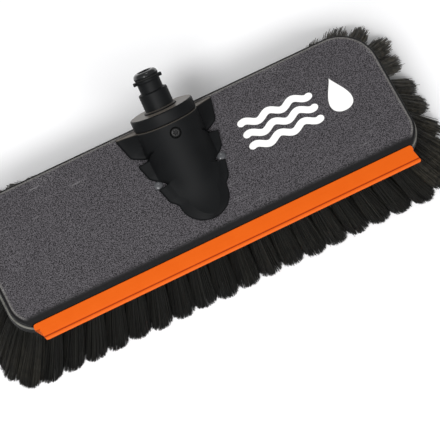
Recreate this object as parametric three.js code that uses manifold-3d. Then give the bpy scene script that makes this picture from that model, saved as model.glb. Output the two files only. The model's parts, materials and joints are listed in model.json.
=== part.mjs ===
// Flat wash brush head for a pressure-washer lance.
// A textured cover is screwed to a bristle board. Water enters through a bayonet spigot that
// swivels in a sloping inlet housing, fills the chamber between cover and board, and leaves
// through outlets between the tufts. A soft squeegee strip is keyed into the cover's front edge.
//
// Units are millimetres. In the head's own frame +X runs along the head, +Y points to the
// back, where the lance is, +Z is up, and Z = 0 is the joint between cover and board.
import * as THREE from "three";
import { mergeVertices } from "three/addons/utils/BufferGeometryUtils.js";
import Module from "manifold-3d";

const wasm = await Module();
wasm.setup();

// ---------------------------------------------------------------- driving dimensions

const CLEARANCE = 0.3; // between neighbouring pieces
const OVERSHOOT = 2; // how far a cutter runs past the face it opens

const HEAD_LENGTH = 280;
const HEAD_WIDTH = 93;
const FRONT_CORNER = 19;
const BACK_CORNER = 27;

const BOARD_THICKNESS = 7;
const SOCKET_DEPTH = 5;
const SOCKET_RADIUS = 3.6;
const OUTLET_RADIUS = 1.6;

const COVER_INSET = 1; // the board's edge shows by this much all round
const COVER_HEIGHT = 7;
const COVER_EDGE = 2.4; // rounding of the cover's top edge
const COVER_SKIN = 2.5; // thickness of the cover's top
const SIDE_WALL = 3.4;
const FRONT_WALL = 8.6; // thicker, because it holds the squeegee's key
const SHOULDER = 5.7; // width of the slope behind the squeegee
const SHOULDER_DROP = 2;

const GASKET_WIDTH = 1.6;
const GASKET_HEIGHT = 1;

const PITCH_X = 13.6; // tuft spacing along a row
const END_GAP = 16; // between the roots round an end and the nearest row's
const ROWS = 7;
const ROOT_INSET = 7; // outer tufts' roots from the board's edge
const BRISTLE_DROP = 38; // board's underside to the bristle tips
const FLARE_X = 18; // how far the tips reach past the board's ends
const FLARE_Y = 19; // and past its long edges
const TUFT_TIP_HALF = 8.5; // half a tuft's spread at its tip
const END_TIP_HALF = 7;

const INLET_ANGLE = 30; // of the spigot above the head, in degrees
const INLET_SETBACK = 10.1; // centre of the housing's mouth, in front of the head's back edge
const INLET_RISE = 10.8; // and above the cover
const MOUTH_RADIUS = 20.7;

const WING_ROOT_HALF = 33.6; // half-width of the housing's skirt at its back
const WING_TAPER = 0.247; // the skirt narrows by this much per millimetre
const WINGS = [
  [3, 17.3],
  [27.3, 37.1],
  [46.9, 55.7],
]; // back and front end of each pair of wings, in front of the head's back edge
const NOTCH_DEPTH = 5.4;
const NOSE_SETBACK = 62; // centre of the housing's round front end
const NOSE_RADIUS = 16.2;
const HOUSING_SCREW_PLACES = [
  [25, 15.5],
  [13, 50.5],
]; // distance from the middle, and in front of the back edge
const SKIRT_EDGE = 2; // height of the skirt at its rim
const SKIRT_FOOT = 3.2; // height of the skirt where it meets the barrel
const BELLY_WIDTH = 22; // of the housing's underside, which hangs into the water chamber
const BELLY_LENGTH = 28;

const STEM_RADIUS = 7;
const STEM_LENGTH = 14;
const WATERWAY_RADIUS = 4.5;
const FLANGE_THICKNESS = 8.1;
const SHANK_RADIUS = 9.4;
const SHANK_LENGTH = 12.4;
const NECK_RADIUS = 7.4;
const LUG_RADIUS = 9.6;
const LUG_WIDTH = 5;
const LUG_THICKNESS = 2.2;
const LUG_HEIGHT = 18.8; // underside of the lugs above the flange
const TIP_HEIGHT = 25.6; // end of the spigot above the flange
const RING_SECTION = 1.1; // radius of an O-ring's section
const RETAINER_DEPTH = 6.2; // retaining screw below the housing's mouth

const SQUEEGEE_INSET = 10; // of its ends from the head's
const SQUEEGEE_REACH = 8.7; // of the blade past the board's edge
const SQUEEGEE_TOP = 4.6;
const SQUEEGEE_UNDERSIDE = 2.1;

const SCREW_RADIUS = 1.75;
const SCREW_HEAD_RADIUS = 3.1;
const SCREW_HEAD_HEIGHT = 2.2;
const BOSS_RADIUS = 3.5;

// ---------------------------------------------------------------- values worked out from them

const HALF_LENGTH = HEAD_LENGTH / 2;
const HALF_WIDTH = HEAD_WIDTH / 2;
const SQUEEGEE_LENGTH = HEAD_LENGTH - 2 * SQUEEGEE_INSET;
const INLET_Y = HALF_WIDTH - INLET_SETBACK;
const INLET_Z = COVER_HEIGHT + INLET_RISE;
const LONG_ROW = 2 * Math.floor((HALF_LENGTH - ROOT_INSET - END_GAP) / PITCH_X + 0.5); // tufts
const ROW_PITCH = (2 * (HALF_WIDTH - ROOT_INSET)) / (ROWS - 1);
const SPREAD_X = (HALF_LENGTH + FLARE_X - END_TIP_HALF) / (HALF_LENGTH - ROOT_INSET);
const SPREAD_Y = (HALF_WIDTH + FLARE_Y - TUFT_TIP_HALF) / (HALF_WIDTH - ROOT_INSET);
const ANGLE = THREE.MathUtils.degToRad(INLET_ANGLE);
const REBATE_Y = -(HALF_WIDTH - COVER_INSET) + 2.8; // back wall of the squeegee's seat
const TUFT_RADIUS = SOCKET_RADIUS - CLEARANCE;
const BOARD_SCREW_TIP = COVER_HEIGHT - 2.2; // heights that the screws' tips reach
const HOUSING_SCREW_TIP = COVER_HEIGHT + 3;
const GROOVE_DEPTH = 1.6; // of the groove that the retaining screw's tip rides in
const RETAINER_TIP = STEM_RADIUS - GROOVE_DEPTH + 2 * CLEARANCE; // distances from the spigot's axis
const RETAINER_SEAT = MOUTH_RADIUS - SCREW_HEAD_HEIGHT - CLEARANCE;

// ---------------------------------------------------------------- solids

// A closed three.js geometry as a solid that can be joined and cut.
function solidOf(geometry) {
  const bare = geometry.clone();
  for (const name of Object.keys(bare.attributes)) if (name !== "position") bare.deleteAttribute(name);
  const merged = mergeVertices(bare, 1e-4);
  return new wasm.Manifold(
    new wasm.Mesh({
      numProp: 3,
      vertProperties: merged.attributes.position.array,
      triVerts: new Uint32Array(merged.index.array),
    }),
  );
}

// A solid back as a three.js geometry.
function geometryOf(solid) {
  const mesh = solid.getMesh();
  return new THREE.BufferGeometry()
    .setAttribute("position", new THREE.BufferAttribute(new Float32Array(mesh.vertProperties), 3))
    .setIndex(new THREE.BufferAttribute(new Uint32Array(mesh.triVerts), 1));
}

const joined = (solids) => solids.reduce((whole, piece) => whole.add(piece));

function boxBetween([x0, y0, z0], [x1, y1, z1]) {
  const box = new THREE.BoxGeometry(x1 - x0, y1 - y0, z1 - z0);
  return box.translate((x0 + x1) / 2, (y0 + y1) / 2, (z0 + z1) / 2);
}

// A flat outline extruded upwards from z0 to z1.
function prism(shape, z0, z1, curveSegments = 6) {
  const extruded = new THREE.ExtrudeGeometry(shape, { depth: z1 - z0, bevelEnabled: false, curveSegments });
  return extruded.translate(0, 0, z0);
}

// An upright cylinder from z0 to z1 at (x, y).
function post(radius, z0, z1, x = 0, y = 0, sides = 16) {
  const cylinder = new THREE.CylinderGeometry(radius, radius, z1 - z0, sides).rotateX(Math.PI / 2);
  return cylinder.translate(x, y, (z0 + z1) / 2);
}

// A closed body through rings of points, all with the same number of points, lowest ring first.
function loft(rings) {
  const count = rings[0].length;
  const index = [];
  for (let ring = 0; ring < rings.length - 1; ring++)
    for (let i = 0; i < count; i++) {
      const a = ring * count + i;
      const b = ring * count + ((i + 1) % count);
      index.push(a, b, b + count, a, b + count, a + count);
    }
  const top = (rings.length - 1) * count;
  for (let i = 1; i < count - 1; i++) {
    index.push(0, i + 1, i);
    index.push(top, top + i, top + i + 1);
  }
  const geometry = new THREE.BufferGeometry().setFromPoints(rings.flat());
  return geometry.setIndex(index);
}

// A turned body: a closed profile of [radius, height] points, spun about Z.
function turned(profile, sides) {
  const points = profile.map(([radius, height]) => new THREE.Vector2(radius, height));
  return new THREE.LatheGeometry([...points, points[0]], sides).rotateX(Math.PI / 2);
}

// ---------------------------------------------------------------- outlines

// The head's outline, moved inwards by inset: rounder corners at the back than at the front.
function headOutline(inset, frontInset = inset) {
  const x = HALF_LENGTH - inset;
  const front = -HALF_WIDTH + frontInset;
  const back = HALF_WIDTH - inset;
  const frontRadius = Math.max(FRONT_CORNER - Math.max(inset, frontInset), 1);
  const backRadius = BACK_CORNER - inset;
  const outline = new THREE.Shape();
  outline.absarc(x - backRadius, back - backRadius, backRadius, 0, Math.PI / 2);
  outline.absarc(-x + backRadius, back - backRadius, backRadius, Math.PI / 2, Math.PI);
  outline.absarc(-x + frontRadius, front + frontRadius, frontRadius, Math.PI, 1.5 * Math.PI);
  outline.absarc(x - frontRadius, front + frontRadius, frontRadius, 1.5 * Math.PI, 2 * Math.PI);
  return outline;
}

// ---------------------------------------------------------------- where tufts, outlets and screws go

// Roots of one straight row: rows alternate between even and odd counts, so tufts are staggered.
function rowRoots(row) {
  const count = row % 2 ? LONG_ROW - 1 : LONG_ROW;
  const y = (row - (ROWS - 1) / 2) * ROW_PITCH;
  return Array.from({ length: count }, (_, i) => [(i - (count - 1) / 2) * PITCH_X, y]);
}

// Roots round one end, from the back corner to the front one.
function endRoots(side) {
  const x = HALF_LENGTH - ROOT_INSET;
  const backRadius = BACK_CORNER - ROOT_INSET;
  const frontRadius = FRONT_CORNER - ROOT_INSET;
  const backY = HALF_WIDTH - BACK_CORNER;
  const frontY = -HALF_WIDTH + FRONT_CORNER;
  const onCorner = (radius, y, degrees) => {
    const angle = THREE.MathUtils.degToRad(degrees);
    return [x - radius + radius * Math.cos(angle), y + radius * Math.sin(angle)];
  };
  const [first, last] = [backY - 5.5, frontY + 1.5];
  const gaps = Math.ceil((first - last) / PITCH_X);
  const column = [...Array(gaps + 1).keys()].map((i) => [x, first + ((last - first) * i) / gaps]);
  const roots = [onCorner(backRadius, backY, 50), onCorner(backRadius, backY, 20), ...column];
  roots.push(onCorner(frontRadius, frontY, -45));
  return roots.map(([rootX, y]) => [side * rootX, y]);
}

// The spot between three staggered tufts, equally far from all of them, beside row and x.
function betweenTufts(row, x) {
  const reach = (PITCH_X ** 2 / 4 + ROW_PITCH ** 2) / (2 * ROW_PITCH);
  return [x, (row - (ROWS - 1) / 2) * ROW_PITCH + ROW_PITCH - reach];
}

const BOARD_SCREWS = [-1, 1].flatMap((side) => [
  betweenTufts(0, side * 7 * PITCH_X),
  betweenTufts(0, side * 2 * PITCH_X),
  betweenTufts(4, side * 8 * PITCH_X),
  betweenTufts(4, side * 3 * PITCH_X),
]);
const OUTLETS = [-1, 1].flatMap((side) => [
  betweenTufts(2, side * 7 * PITCH_X),
  betweenTufts(2, side * 5 * PITCH_X),
  betweenTufts(2, side * 3 * PITCH_X),
  betweenTufts(2, side * PITCH_X),
  betweenTufts(4, side * 6 * PITCH_X),
  betweenTufts(0, side * 5 * PITCH_X),
]);
const HOUSING_SCREWS = HOUSING_SCREW_PLACES.flatMap(([x, setback]) => [
  [-x, HALF_WIDTH - setback],
  [x, HALF_WIDTH - setback],
]);

// ---------------------------------------------------------------- bristle board and its seal

function bristleBoard() {
  const roots = [...Array(ROWS).keys()].flatMap(rowRoots).concat(endRoots(-1), endRoots(1));
  const floor = -BOARD_THICKNESS - OVERSHOOT;
  const sockets = roots.map(([x, y]) => post(SOCKET_RADIUS, floor, -BOARD_THICKNESS + SOCKET_DEPTH, x, y, 6));
  const outlets = OUTLETS.map(([x, y]) => post(OUTLET_RADIUS, floor, OVERSHOOT, x, y, 8));
  const screwHoles = BOARD_SCREWS.flatMap(([x, y]) => [
    post(SCREW_RADIUS + CLEARANCE, floor, OVERSHOOT, x, y, 10),
    post(SCREW_HEAD_RADIUS + CLEARANCE, floor, -BOARD_THICKNESS + SCREW_HEAD_HEIGHT + CLEARANCE, x, y, 12),
  ]);
  const sealGroove = gasketRing(CLEARANCE, -GASKET_HEIGHT - CLEARANCE, OVERSHOOT);
  const board = solidOf(prism(headOutline(0), -BOARD_THICKNESS, 0));
  return board.subtract(joined([sealGroove, ...[...sockets, ...outlets, ...screwHoles].map(solidOf)]));
}

// The seal's path lies under the cover's wall. growth widens it on both sides, for its groove.
function gasketRing(growth, z0, z1) {
  const middle = COVER_INSET + SIDE_WALL / 2;
  const outer = solidOf(prism(headOutline(middle - GASKET_WIDTH / 2 - growth), z0, z1));
  const inner = solidOf(
    prism(headOutline(middle + GASKET_WIDTH / 2 + growth), z0 - OVERSHOOT, z1 + OVERSHOOT),
  );
  return outer.subtract(inner);
}

const boardGasket = () => gasketRing(0, -GASKET_HEIGHT, 0);

// ---------------------------------------------------------------- tufts

// One tuft: a round plug in its socket, spreading to a six-sided tip that leans outwards.
function tuft([x, y], halfX, halfY) {
  const corner = 1 / Math.cos(Math.PI / 6);
  const ring = (cx, cy, rx, ry, z) =>
    Array.from({ length: 6 }, (_, i) => {
      const angle = ((i + 0.5) * Math.PI) / 3;
      return new THREE.Vector3(cx + corner * rx * Math.cos(angle), cy + ry * Math.sin(angle), z);
    });
  const plug = TUFT_RADIUS * Math.cos(Math.PI / 6);
  return loft([
    ring(x * SPREAD_X, y * SPREAD_Y, halfX, halfY, -BOARD_THICKNESS - BRISTLE_DROP),
    ring(x, y, plug, TUFT_RADIUS, -BOARD_THICKNESS - CLEARANCE),
    ring(x, y, plug, TUFT_RADIUS, -BOARD_THICKNESS + SOCKET_DEPTH - CLEARANCE),
  ]);
}

// A straight row. Its tufts meet at their tips; neighbouring rows stay a clearance apart.
function tuftRow(row) {
  const outer = row === 0 || row === ROWS - 1;
  const halfX = (PITCH_X * SPREAD_X) / 2 + 0.6;
  const halfY = outer ? TUFT_TIP_HALF : (ROW_PITCH * SPREAD_Y - CLEARANCE) / 2;
  return joined(rowRoots(row).map((root) => solidOf(tuft(root, halfX, halfY))));
}

// The tufts round one end, trimmed by a sloping plane that keeps them off the ends of the rows.
function tuftEnd(side) {
  const halfY = 10.6;
  const tufts = joined(endRoots(side).map((root) => solidOf(tuft(root, END_TIP_HALF, halfY))));
  const lastRoot = ((LONG_ROW - 1) / 2) * PITCH_X;
  const atBoard = lastRoot + TUFT_RADIUS + CLEARANCE;
  const atTips = lastRoot * SPREAD_X + (PITCH_X * SPREAD_X) / 2 + 0.6 + CLEARANCE;
  const trim = new THREE.Shape([
    new THREE.Vector2(0, OVERSHOOT),
    new THREE.Vector2(atBoard, OVERSHOOT),
    new THREE.Vector2(atBoard, -BOARD_THICKNESS),
    new THREE.Vector2(atTips, -BOARD_THICKNESS - BRISTLE_DROP),
    new THREE.Vector2(atTips, -BOARD_THICKNESS - BRISTLE_DROP - OVERSHOOT),
    new THREE.Vector2(0, -BOARD_THICKNESS - BRISTLE_DROP - OVERSHOOT),
  ]);
  const span = 4 * HALF_WIDTH;
  const cutter = prism(trim, -span / 2, span / 2).rotateX(Math.PI / 2);
  if (side < 0) cutter.rotateZ(Math.PI);
  return tufts.subtract(solidOf(cutter));
}

// ---------------------------------------------------------------- cover

// The cover's outside: a rounded slab whose lower rounding is cut off at the joint.
function coverBlank() {
  const slab = new THREE.ExtrudeGeometry(headOutline(COVER_INSET + COVER_EDGE), {
    depth: COVER_HEIGHT,
    bevelSize: COVER_EDGE,
    bevelThickness: COVER_EDGE,
    bevelSegments: 3,
    curveSegments: 6,
  }).translate(0, 0, -COVER_EDGE);
  const wide = HEAD_LENGTH;
  return solidOf(slab).subtract(solidOf(boxBetween([-wide, -wide, -wide], [wide, wide, CLEARANCE])));
}

// The cover: hollow underneath, with a boss for each board screw, open where the housing goes in.
function deckCover() {
  const chamberOutline = headOutline(COVER_INSET + SIDE_WALL, COVER_INSET + FRONT_WALL);
  const chamber = prism(chamberOutline, -OVERSHOOT, COVER_HEIGHT - COVER_SKIN);
  const bosses = BOARD_SCREWS.map(([x, y]) => post(BOSS_RADIUS, CLEARANCE, COVER_HEIGHT - 1, x, y, 12));
  const hole = (z0, z1) => ([x, y]) => post(SCREW_RADIUS + CLEARANCE, z0, z1, x, y, 10);
  const pilots = BOARD_SCREWS.map(hole(-OVERSHOOT, BOARD_SCREW_TIP + CLEARANCE));
  const housingHoles = HOUSING_SCREWS.map(hole(0, COVER_HEIGHT + OVERSHOOT));
  const cutters = [...pilots, ...housingHoles, belly(CLEARANCE), flangeSweep()].map(solidOf);
  return coverBlank()
    .subtract(solidOf(chamber))
    .add(joined(bosses.map(solidOf)))
    .subtract(joined([squeegeeSeat(), ...cutters]));
}

// Room for the flange's lower edge, which turns just behind the cover's back edge.
function flangeSweep() {
  const room = 2 * CLEARANCE;
  return inInletFrame(post(MOUTH_RADIUS + room, -room, 2 * FLANGE_THICKNESS, 0, 0, 32));
}

// The sloping shoulder, the step that the strip lies on, and the keyway behind it.
function squeegeeSeat() {
  const far = -HEAD_WIDTH;
  const half = SQUEEGEE_LENGTH / 2 + CLEARANCE;
  const step = boxBetween(
    [-half, far, SQUEEGEE_UNDERSIDE - CLEARANCE],
    [half, REBATE_Y, COVER_HEIGHT + OVERSHOOT],
  );
  const slope = new THREE.Shape([
    new THREE.Vector2(REBATE_Y + SHOULDER, COVER_HEIGHT),
    new THREE.Vector2(REBATE_Y + SHOULDER, COVER_HEIGHT + OVERSHOOT),
    new THREE.Vector2(far, COVER_HEIGHT + OVERSHOOT),
    new THREE.Vector2(far, COVER_HEIGHT - SHOULDER_DROP),
    new THREE.Vector2(REBATE_Y, COVER_HEIGHT - SHOULDER_DROP),
  ]);
  const keyway = squeegeeKey(CLEARANCE).map((shape) => alongX(shape, 2 * half));
  return joined([step, alongX(slope, HEAD_LENGTH + OVERSHOOT), ...keyway].map(solidOf));
}

// ---------------------------------------------------------------- squeegee strip

// A (y, z) outline extruded along X and centred on x = 0.
function alongX(shape, length) {
  const turn = new THREE.Matrix4().makeBasis(
    new THREE.Vector3(0, 1, 0),
    new THREE.Vector3(0, 0, 1),
    new THREE.Vector3(1, 0, 0),
  );
  return prism(shape, -length / 2, length / 2).applyMatrix4(turn);
}

const rectangle = (y0, z0, y1, z1) =>
  new THREE.Shape([
    new THREE.Vector2(y0, z0),
    new THREE.Vector2(y1, z0),
    new THREE.Vector2(y1, z1),
    new THREE.Vector2(y0, z1),
  ]);

// The T-shaped key behind the strip: a neck and a wider head, grown for the keyway.
function squeegeeKey(growth) {
  const middle = (SQUEEGEE_TOP + SQUEEGEE_UNDERSIDE) / 2 - 0.1;
  const neckHalf = 0.6 + growth;
  const headHalf = 1.1 + growth;
  return [
    rectangle(REBATE_Y - 0.6, middle - neckHalf, REBATE_Y + 2, middle + neckHalf),
    rectangle(REBATE_Y + 1.6 - growth, middle - headHalf, REBATE_Y + 3.2 + growth, middle + headHalf),
  ];
}

// The strip: a flat band on the step and a blade with a grooved, beaded edge in front of it.
function squeegeeStrip() {
  const back = REBATE_Y - CLEARANCE;
  const tip = -HALF_WIDTH - SQUEEGEE_REACH;
  const profile = new THREE.Shape([
    new THREE.Vector2(back, SQUEEGEE_UNDERSIDE),
    new THREE.Vector2(back, SQUEEGEE_TOP),
    new THREE.Vector2(tip + 5.2, SQUEEGEE_TOP - 0.3),
    new THREE.Vector2(tip + 3, SQUEEGEE_TOP - 0.6),
    new THREE.Vector2(tip + 2.7, SQUEEGEE_TOP - 1.1),
    new THREE.Vector2(tip + 2.2, SQUEEGEE_TOP - 1.1),
    new THREE.Vector2(tip + 1.9, SQUEEGEE_TOP - 0.8),
    new THREE.Vector2(tip + 0.4, SQUEEGEE_TOP - 1.1),
    new THREE.Vector2(tip, SQUEEGEE_TOP - 1.8),
    new THREE.Vector2(tip + 0.4, SQUEEGEE_UNDERSIDE),
  ]);
  const strip = solidOf(alongX(profile, SQUEEGEE_LENGTH)).add(
    joined(squeegeeKey(0).map((shape) => solidOf(alongX(shape, SQUEEGEE_LENGTH)))),
  );
  const bevels = [-1, 1].flatMap((side) => [endBevel(side, back, 1), endBevel(side, tip, -1)]);
  return strip.subtract(joined(bevels));
}

// A corner taken off one end of the strip at y; way is +1 for the back corner, -1 for the front.
function endBevel(side, y, way) {
  const size = 1.4;
  const x = side * (SQUEEGEE_LENGTH / 2);
  const corner = new THREE.Shape([
    new THREE.Vector2(x - side * size, y + way * CLEARANCE),
    new THREE.Vector2(x + side * OVERSHOOT, y + way * CLEARANCE),
    new THREE.Vector2(x + side * OVERSHOOT, y - way * 1.6 * size),
    new THREE.Vector2(x, y - way * 1.6 * size),
  ]);
  return solidOf(prism(corner, 0, COVER_HEIGHT));
}

// ---------------------------------------------------------------- inlet housing

// The inlet frame has its origin at the centre of the housing's mouth and +Z along the spigot.
function inInletFrame(geometry) {
  return geometry.rotateX(ANGLE - Math.PI / 2).translate(0, INLET_Y, INLET_Z);
}

const axisHeight = (y) => INLET_Z + (y - INLET_Y) * Math.tan(ANGLE);
const envelope = (y) => WING_ROOT_HALF - WING_TAPER * (HALF_WIDTH - WINGS[0][0] - y);

// Stations of the skirt's edge from back to front, as [y, half-width].
function skirtStations() {
  const stations = [];
  const noseY = HALF_WIDTH - NOSE_SETBACK;
  const wings = WINGS.map((ends) => ends.map((setback) => HALF_WIDTH - setback));
  wings.forEach(([back, front], i) => {
    for (let step = 0; step <= 2; step++) {
      const y = back + ((front - back) * step) / 2;
      stations.push([y, envelope(y)]);
    }
    const next = i + 1 < wings.length ? wings[i + 1][0] : noseY - 1;
    const gap = front - next;
    stations.push([front - 0.35 * gap, envelope(front) - 0.65 * NOTCH_DEPTH]);
    stations.push([front - 0.65 * gap, envelope(next) - NOTCH_DEPTH + 0.4]);
    if (i + 1 < wings.length) stations.push([next + 0.1 * gap, envelope(next) - 0.8 * NOTCH_DEPTH]);
  });
  for (let degrees = 5; degrees <= 85; degrees += 10) {
    const angle = THREE.MathUtils.degToRad(degrees);
    stations.push([noseY - NOSE_RADIUS * Math.sin(angle), NOSE_RADIUS * Math.cos(angle)]);
  }
  return stations;
}

const smoothMax = (a, b, blend) => Math.max(a, b) + Math.max(blend - Math.abs(a - b), 0) ** 2 / (4 * blend);

// Height of the housing over the cover: the sloping round barrel, blended into the skirt.
function housingHeight(x, y) {
  const edge = envelope(y);
  const reach = Math.min(Math.abs(x), edge);
  const foot = Math.max(axisHeight(y) - COVER_HEIGHT, SKIRT_FOOT);
  const share = Math.min((edge - reach) / Math.max(edge - MOUTH_RADIUS, 6), 1);
  const skirt = SKIRT_EDGE + (foot - SKIRT_EDGE) * share ** 1.6;
  const rise = Math.sqrt(Math.max(MOUTH_RADIUS ** 2 - x ** 2, 0)) / Math.cos(ANGLE);
  const barrel = axisHeight(y) + rise - COVER_HEIGHT;
  return Math.abs(x) < MOUTH_RADIUS ? smoothMax(barrel, skirt, 2.5) : skirt;
}

function housingShell() {
  const across = 16;
  const seat = COVER_HEIGHT + CLEARANCE;
  const rings = skirtStations().map(([y, half]) => {
    const upper = Array.from({ length: across + 1 }, (_, i) => {
      const x = half * Math.sin((Math.PI / 2) * (1 - (2 * i) / across));
      return new THREE.Vector3(x, y, COVER_HEIGHT + housingHeight(x, y));
    });
    const lower = [new THREE.Vector3(-half, y, seat), new THREE.Vector3(half, y, seat)];
    return [...upper, ...lower];
  });
  return solidOf(loft(rings));
}

// The housing's belly, which hangs through the cover into the water chamber.
function belly(growth) {
  const half = BELLY_WIDTH / 2 + growth;
  const back = INLET_Y + growth;
  const front = INLET_Y - BELLY_LENGTH - growth;
  return boxBetween([-half, front, CLEARANCE + 0.7 - growth], [half, back, COVER_HEIGHT + 2]);
}

function inletHousing() {
  const wide = 6 * MOUTH_RADIUS;
  const screwRadius = SCREW_RADIUS + CLEARANCE;
  const headRadius = SCREW_HEAD_RADIUS + 2 * CLEARANCE;
  const behindMouth = inInletFrame(boxBetween([-wide, -wide, 0], [wide, wide, wide]));
  const bore = inInletFrame(post(STEM_RADIUS + CLEARANCE, -STEM_LENGTH - CLEARANCE, OVERSHOOT, 0, 0, 24));
  const waterway = inInletFrame(post(WATERWAY_RADIUS, -2.1 * STEM_LENGTH, 0));
  const outlet = post(WATERWAY_RADIUS, 0, COVER_HEIGHT - COVER_SKIN, 0, INLET_Y - 0.7 * BELLY_LENGTH);
  const screwHole = inRetainerFrame(post(screwRadius, 0, 2 * MOUTH_RADIUS, 0, 0, 12));
  const screwSeat = inRetainerFrame(post(headRadius, RETAINER_SEAT - CLEARANCE, 2 * MOUTH_RADIUS));
  const pilotTop = HOUSING_SCREW_TIP + CLEARANCE;
  const pilots = HOUSING_SCREWS.map(([x, y]) => post(screwRadius, 0, pilotTop, x, y, 10));
  const cutters = [behindMouth, bore, waterway, outlet, screwHole, screwSeat, ...pilots];
  return housingShell()
    .add(solidOf(belly(0)))
    .subtract(joined(cutters.map(solidOf)));
}

// ---------------------------------------------------------------- spigot and its rings

const TIP_RING_HEIGHT = FLANGE_THICKNESS + LUG_HEIGHT + LUG_THICKNESS + RING_SECTION + 0.4;
const STEM_RING_HEIGHT = -STEM_LENGTH + RING_SECTION + 1.2;
const TIP_RING_RADIUS = NECK_RADIUS - RING_SECTION + 0.5; // of the section's centre
const STEM_RING_RADIUS = STEM_RADIUS - RING_SECTION + 0.1;

// A groove for an O-ring or the retaining screw, as the four profile points of its walls.
const groove = (outer, inner, middle, half) => [
  [outer, middle - half],
  [inner, middle - half],
  [inner, middle + half],
  [outer, middle + half],
];

function inletSpigot() {
  const ringHalf = RING_SECTION + CLEARANCE;
  const ringFloor = (radius) => radius - RING_SECTION - 0.1;
  const flangeTop = FLANGE_THICKNESS;
  const shoulder = flangeTop + SHANK_LENGTH;
  const end = flangeTop + TIP_HEIGHT;
  const body = turned(
    [
      [WATERWAY_RADIUS - 0.6, -STEM_LENGTH],
      [STEM_RADIUS, -STEM_LENGTH],
      ...groove(STEM_RADIUS, ringFloor(STEM_RING_RADIUS), STEM_RING_HEIGHT, ringHalf),
      ...groove(STEM_RADIUS, STEM_RADIUS - GROOVE_DEPTH, -RETAINER_DEPTH, SCREW_RADIUS + CLEARANCE),
      [STEM_RADIUS, CLEARANCE],
      [MOUTH_RADIUS - 0.5, CLEARANCE],
      [MOUTH_RADIUS, CLEARANCE + 0.5],
      [MOUTH_RADIUS, flangeTop - 0.5],
      [MOUTH_RADIUS - 0.5, flangeTop],
      [SHANK_RADIUS + 0.4, flangeTop],
      [SHANK_RADIUS, flangeTop + 0.6],
      [SHANK_RADIUS, shoulder],
      [NECK_RADIUS, shoulder],
      ...groove(NECK_RADIUS, ringFloor(TIP_RING_RADIUS), TIP_RING_HEIGHT, ringHalf),
      [NECK_RADIUS, end - 1.6],
      [NECK_RADIUS - 1.6, end],
      [WATERWAY_RADIUS - 0.6, end],
    ],
    32,
  );
  const lugBase = flangeTop + LUG_HEIGHT;
  const lugs = boxBetween(
    [-LUG_RADIUS, -LUG_WIDTH / 2, lugBase],
    [LUG_RADIUS, LUG_WIDTH / 2, lugBase + LUG_THICKNESS],
  );
  const bore = post(WATERWAY_RADIUS, -STEM_LENGTH - OVERSHOOT, end + OVERSHOOT, 0, 0, 24);
  return solidOf(body).add(solidOf(lugs)).subtract(solidOf(bore));
}

// An O-ring whose section touches neither the floor nor the walls of its groove.
function oRing(radius) {
  const section = RING_SECTION - 0.1;
  const circle = Array.from({ length: 8 }, (_, i) => {
    const angle = (i * Math.PI) / 4;
    return [radius + section * Math.cos(angle), section * Math.sin(angle)];
  });
  return solidOf(turned(circle, 24));
}

// ---------------------------------------------------------------- screws

// The retaining screw's frame: +Z along the screw, out of the housing, z = 0 on the spigot's axis.
function inRetainerFrame(geometry) {
  return inInletFrame(geometry.rotateX(Math.PI / 2).translate(0, 0, -RETAINER_DEPTH));
}

// A pan-head screw with its tip at z = 0, its head above length, and a six-sided socket in the head.
function screw(length) {
  const head = SCREW_HEAD_HEIGHT;
  const body = turned(
    [
      [0, 0],
      [SCREW_RADIUS * 0.6, 0],
      [SCREW_RADIUS, 1],
      [SCREW_RADIUS, length],
      [SCREW_HEAD_RADIUS, length],
      [SCREW_HEAD_RADIUS, length + head * 0.6],
      [SCREW_HEAD_RADIUS * 0.75, length + head],
      [0, length + head],
    ],
    12,
  );
  const socket = post(SCREW_HEAD_RADIUS * 0.42, length + head - 1.2, length + head + OVERSHOOT, 0, 0, 6);
  return solidOf(body).subtract(solidOf(socket));
}

// ---------------------------------------------------------------- materials

const material = (color, roughness, metalness = 0) =>
  new THREE.MeshStandardMaterial({ color, roughness, metalness });
const COVER_PLASTIC = material(0x4a4a50, 0.75);
const BLACK_PLASTIC = material(0x161717, 0.5);
const BOARD_PLASTIC = material(0x222324, 0.6);
const ORANGE_RUBBER = material(0xf06a1c, 0.5);
const BRISTLE = material(0x141414, 0.8);
const SEAL_RUBBER = material(0x0c0c0c, 0.7);
const STEEL = material(0x8a8a8a, 0.35, 1);

// ---------------------------------------------------------------- assembly

function piece(name, geometry, finish) {
  const mesh = new THREE.Mesh(geometry, finish);
  mesh.name = name;
  return mesh;
}

// What turns with the spigot: its own pieces, in the inlet frame.
function spigotGroup() {
  const group = new THREE.Group();
  const tipRing = piece("tip_o_ring", geometryOf(oRing(TIP_RING_RADIUS)), SEAL_RUBBER);
  const stemRing = piece("stem_o_ring", geometryOf(oRing(STEM_RING_RADIUS)), SEAL_RUBBER);
  tipRing.position.z = TIP_RING_HEIGHT;
  stemRing.position.z = STEM_RING_HEIGHT;
  group.add(piece("inlet_spigot", geometryOf(inletSpigot()), BLACK_PLASTIC), tipRing, stemRing);
  return group;
}

// The inlet frame holds the spigot and the screw that keeps it in the housing.
function inletGroup() {
  const group = new THREE.Group();
  group.position.set(0, INLET_Y, INLET_Z);
  group.rotation.x = ANGLE - Math.PI / 2;
  const retainer = piece("retaining_screw", geometryOf(screw(RETAINER_SEAT - RETAINER_TIP)), STEEL);
  retainer.position.set(0, -RETAINER_TIP, -RETAINER_DEPTH);
  retainer.rotation.x = Math.PI / 2;
  group.add(spigotGroup(), retainer);
  return group;
}

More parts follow.
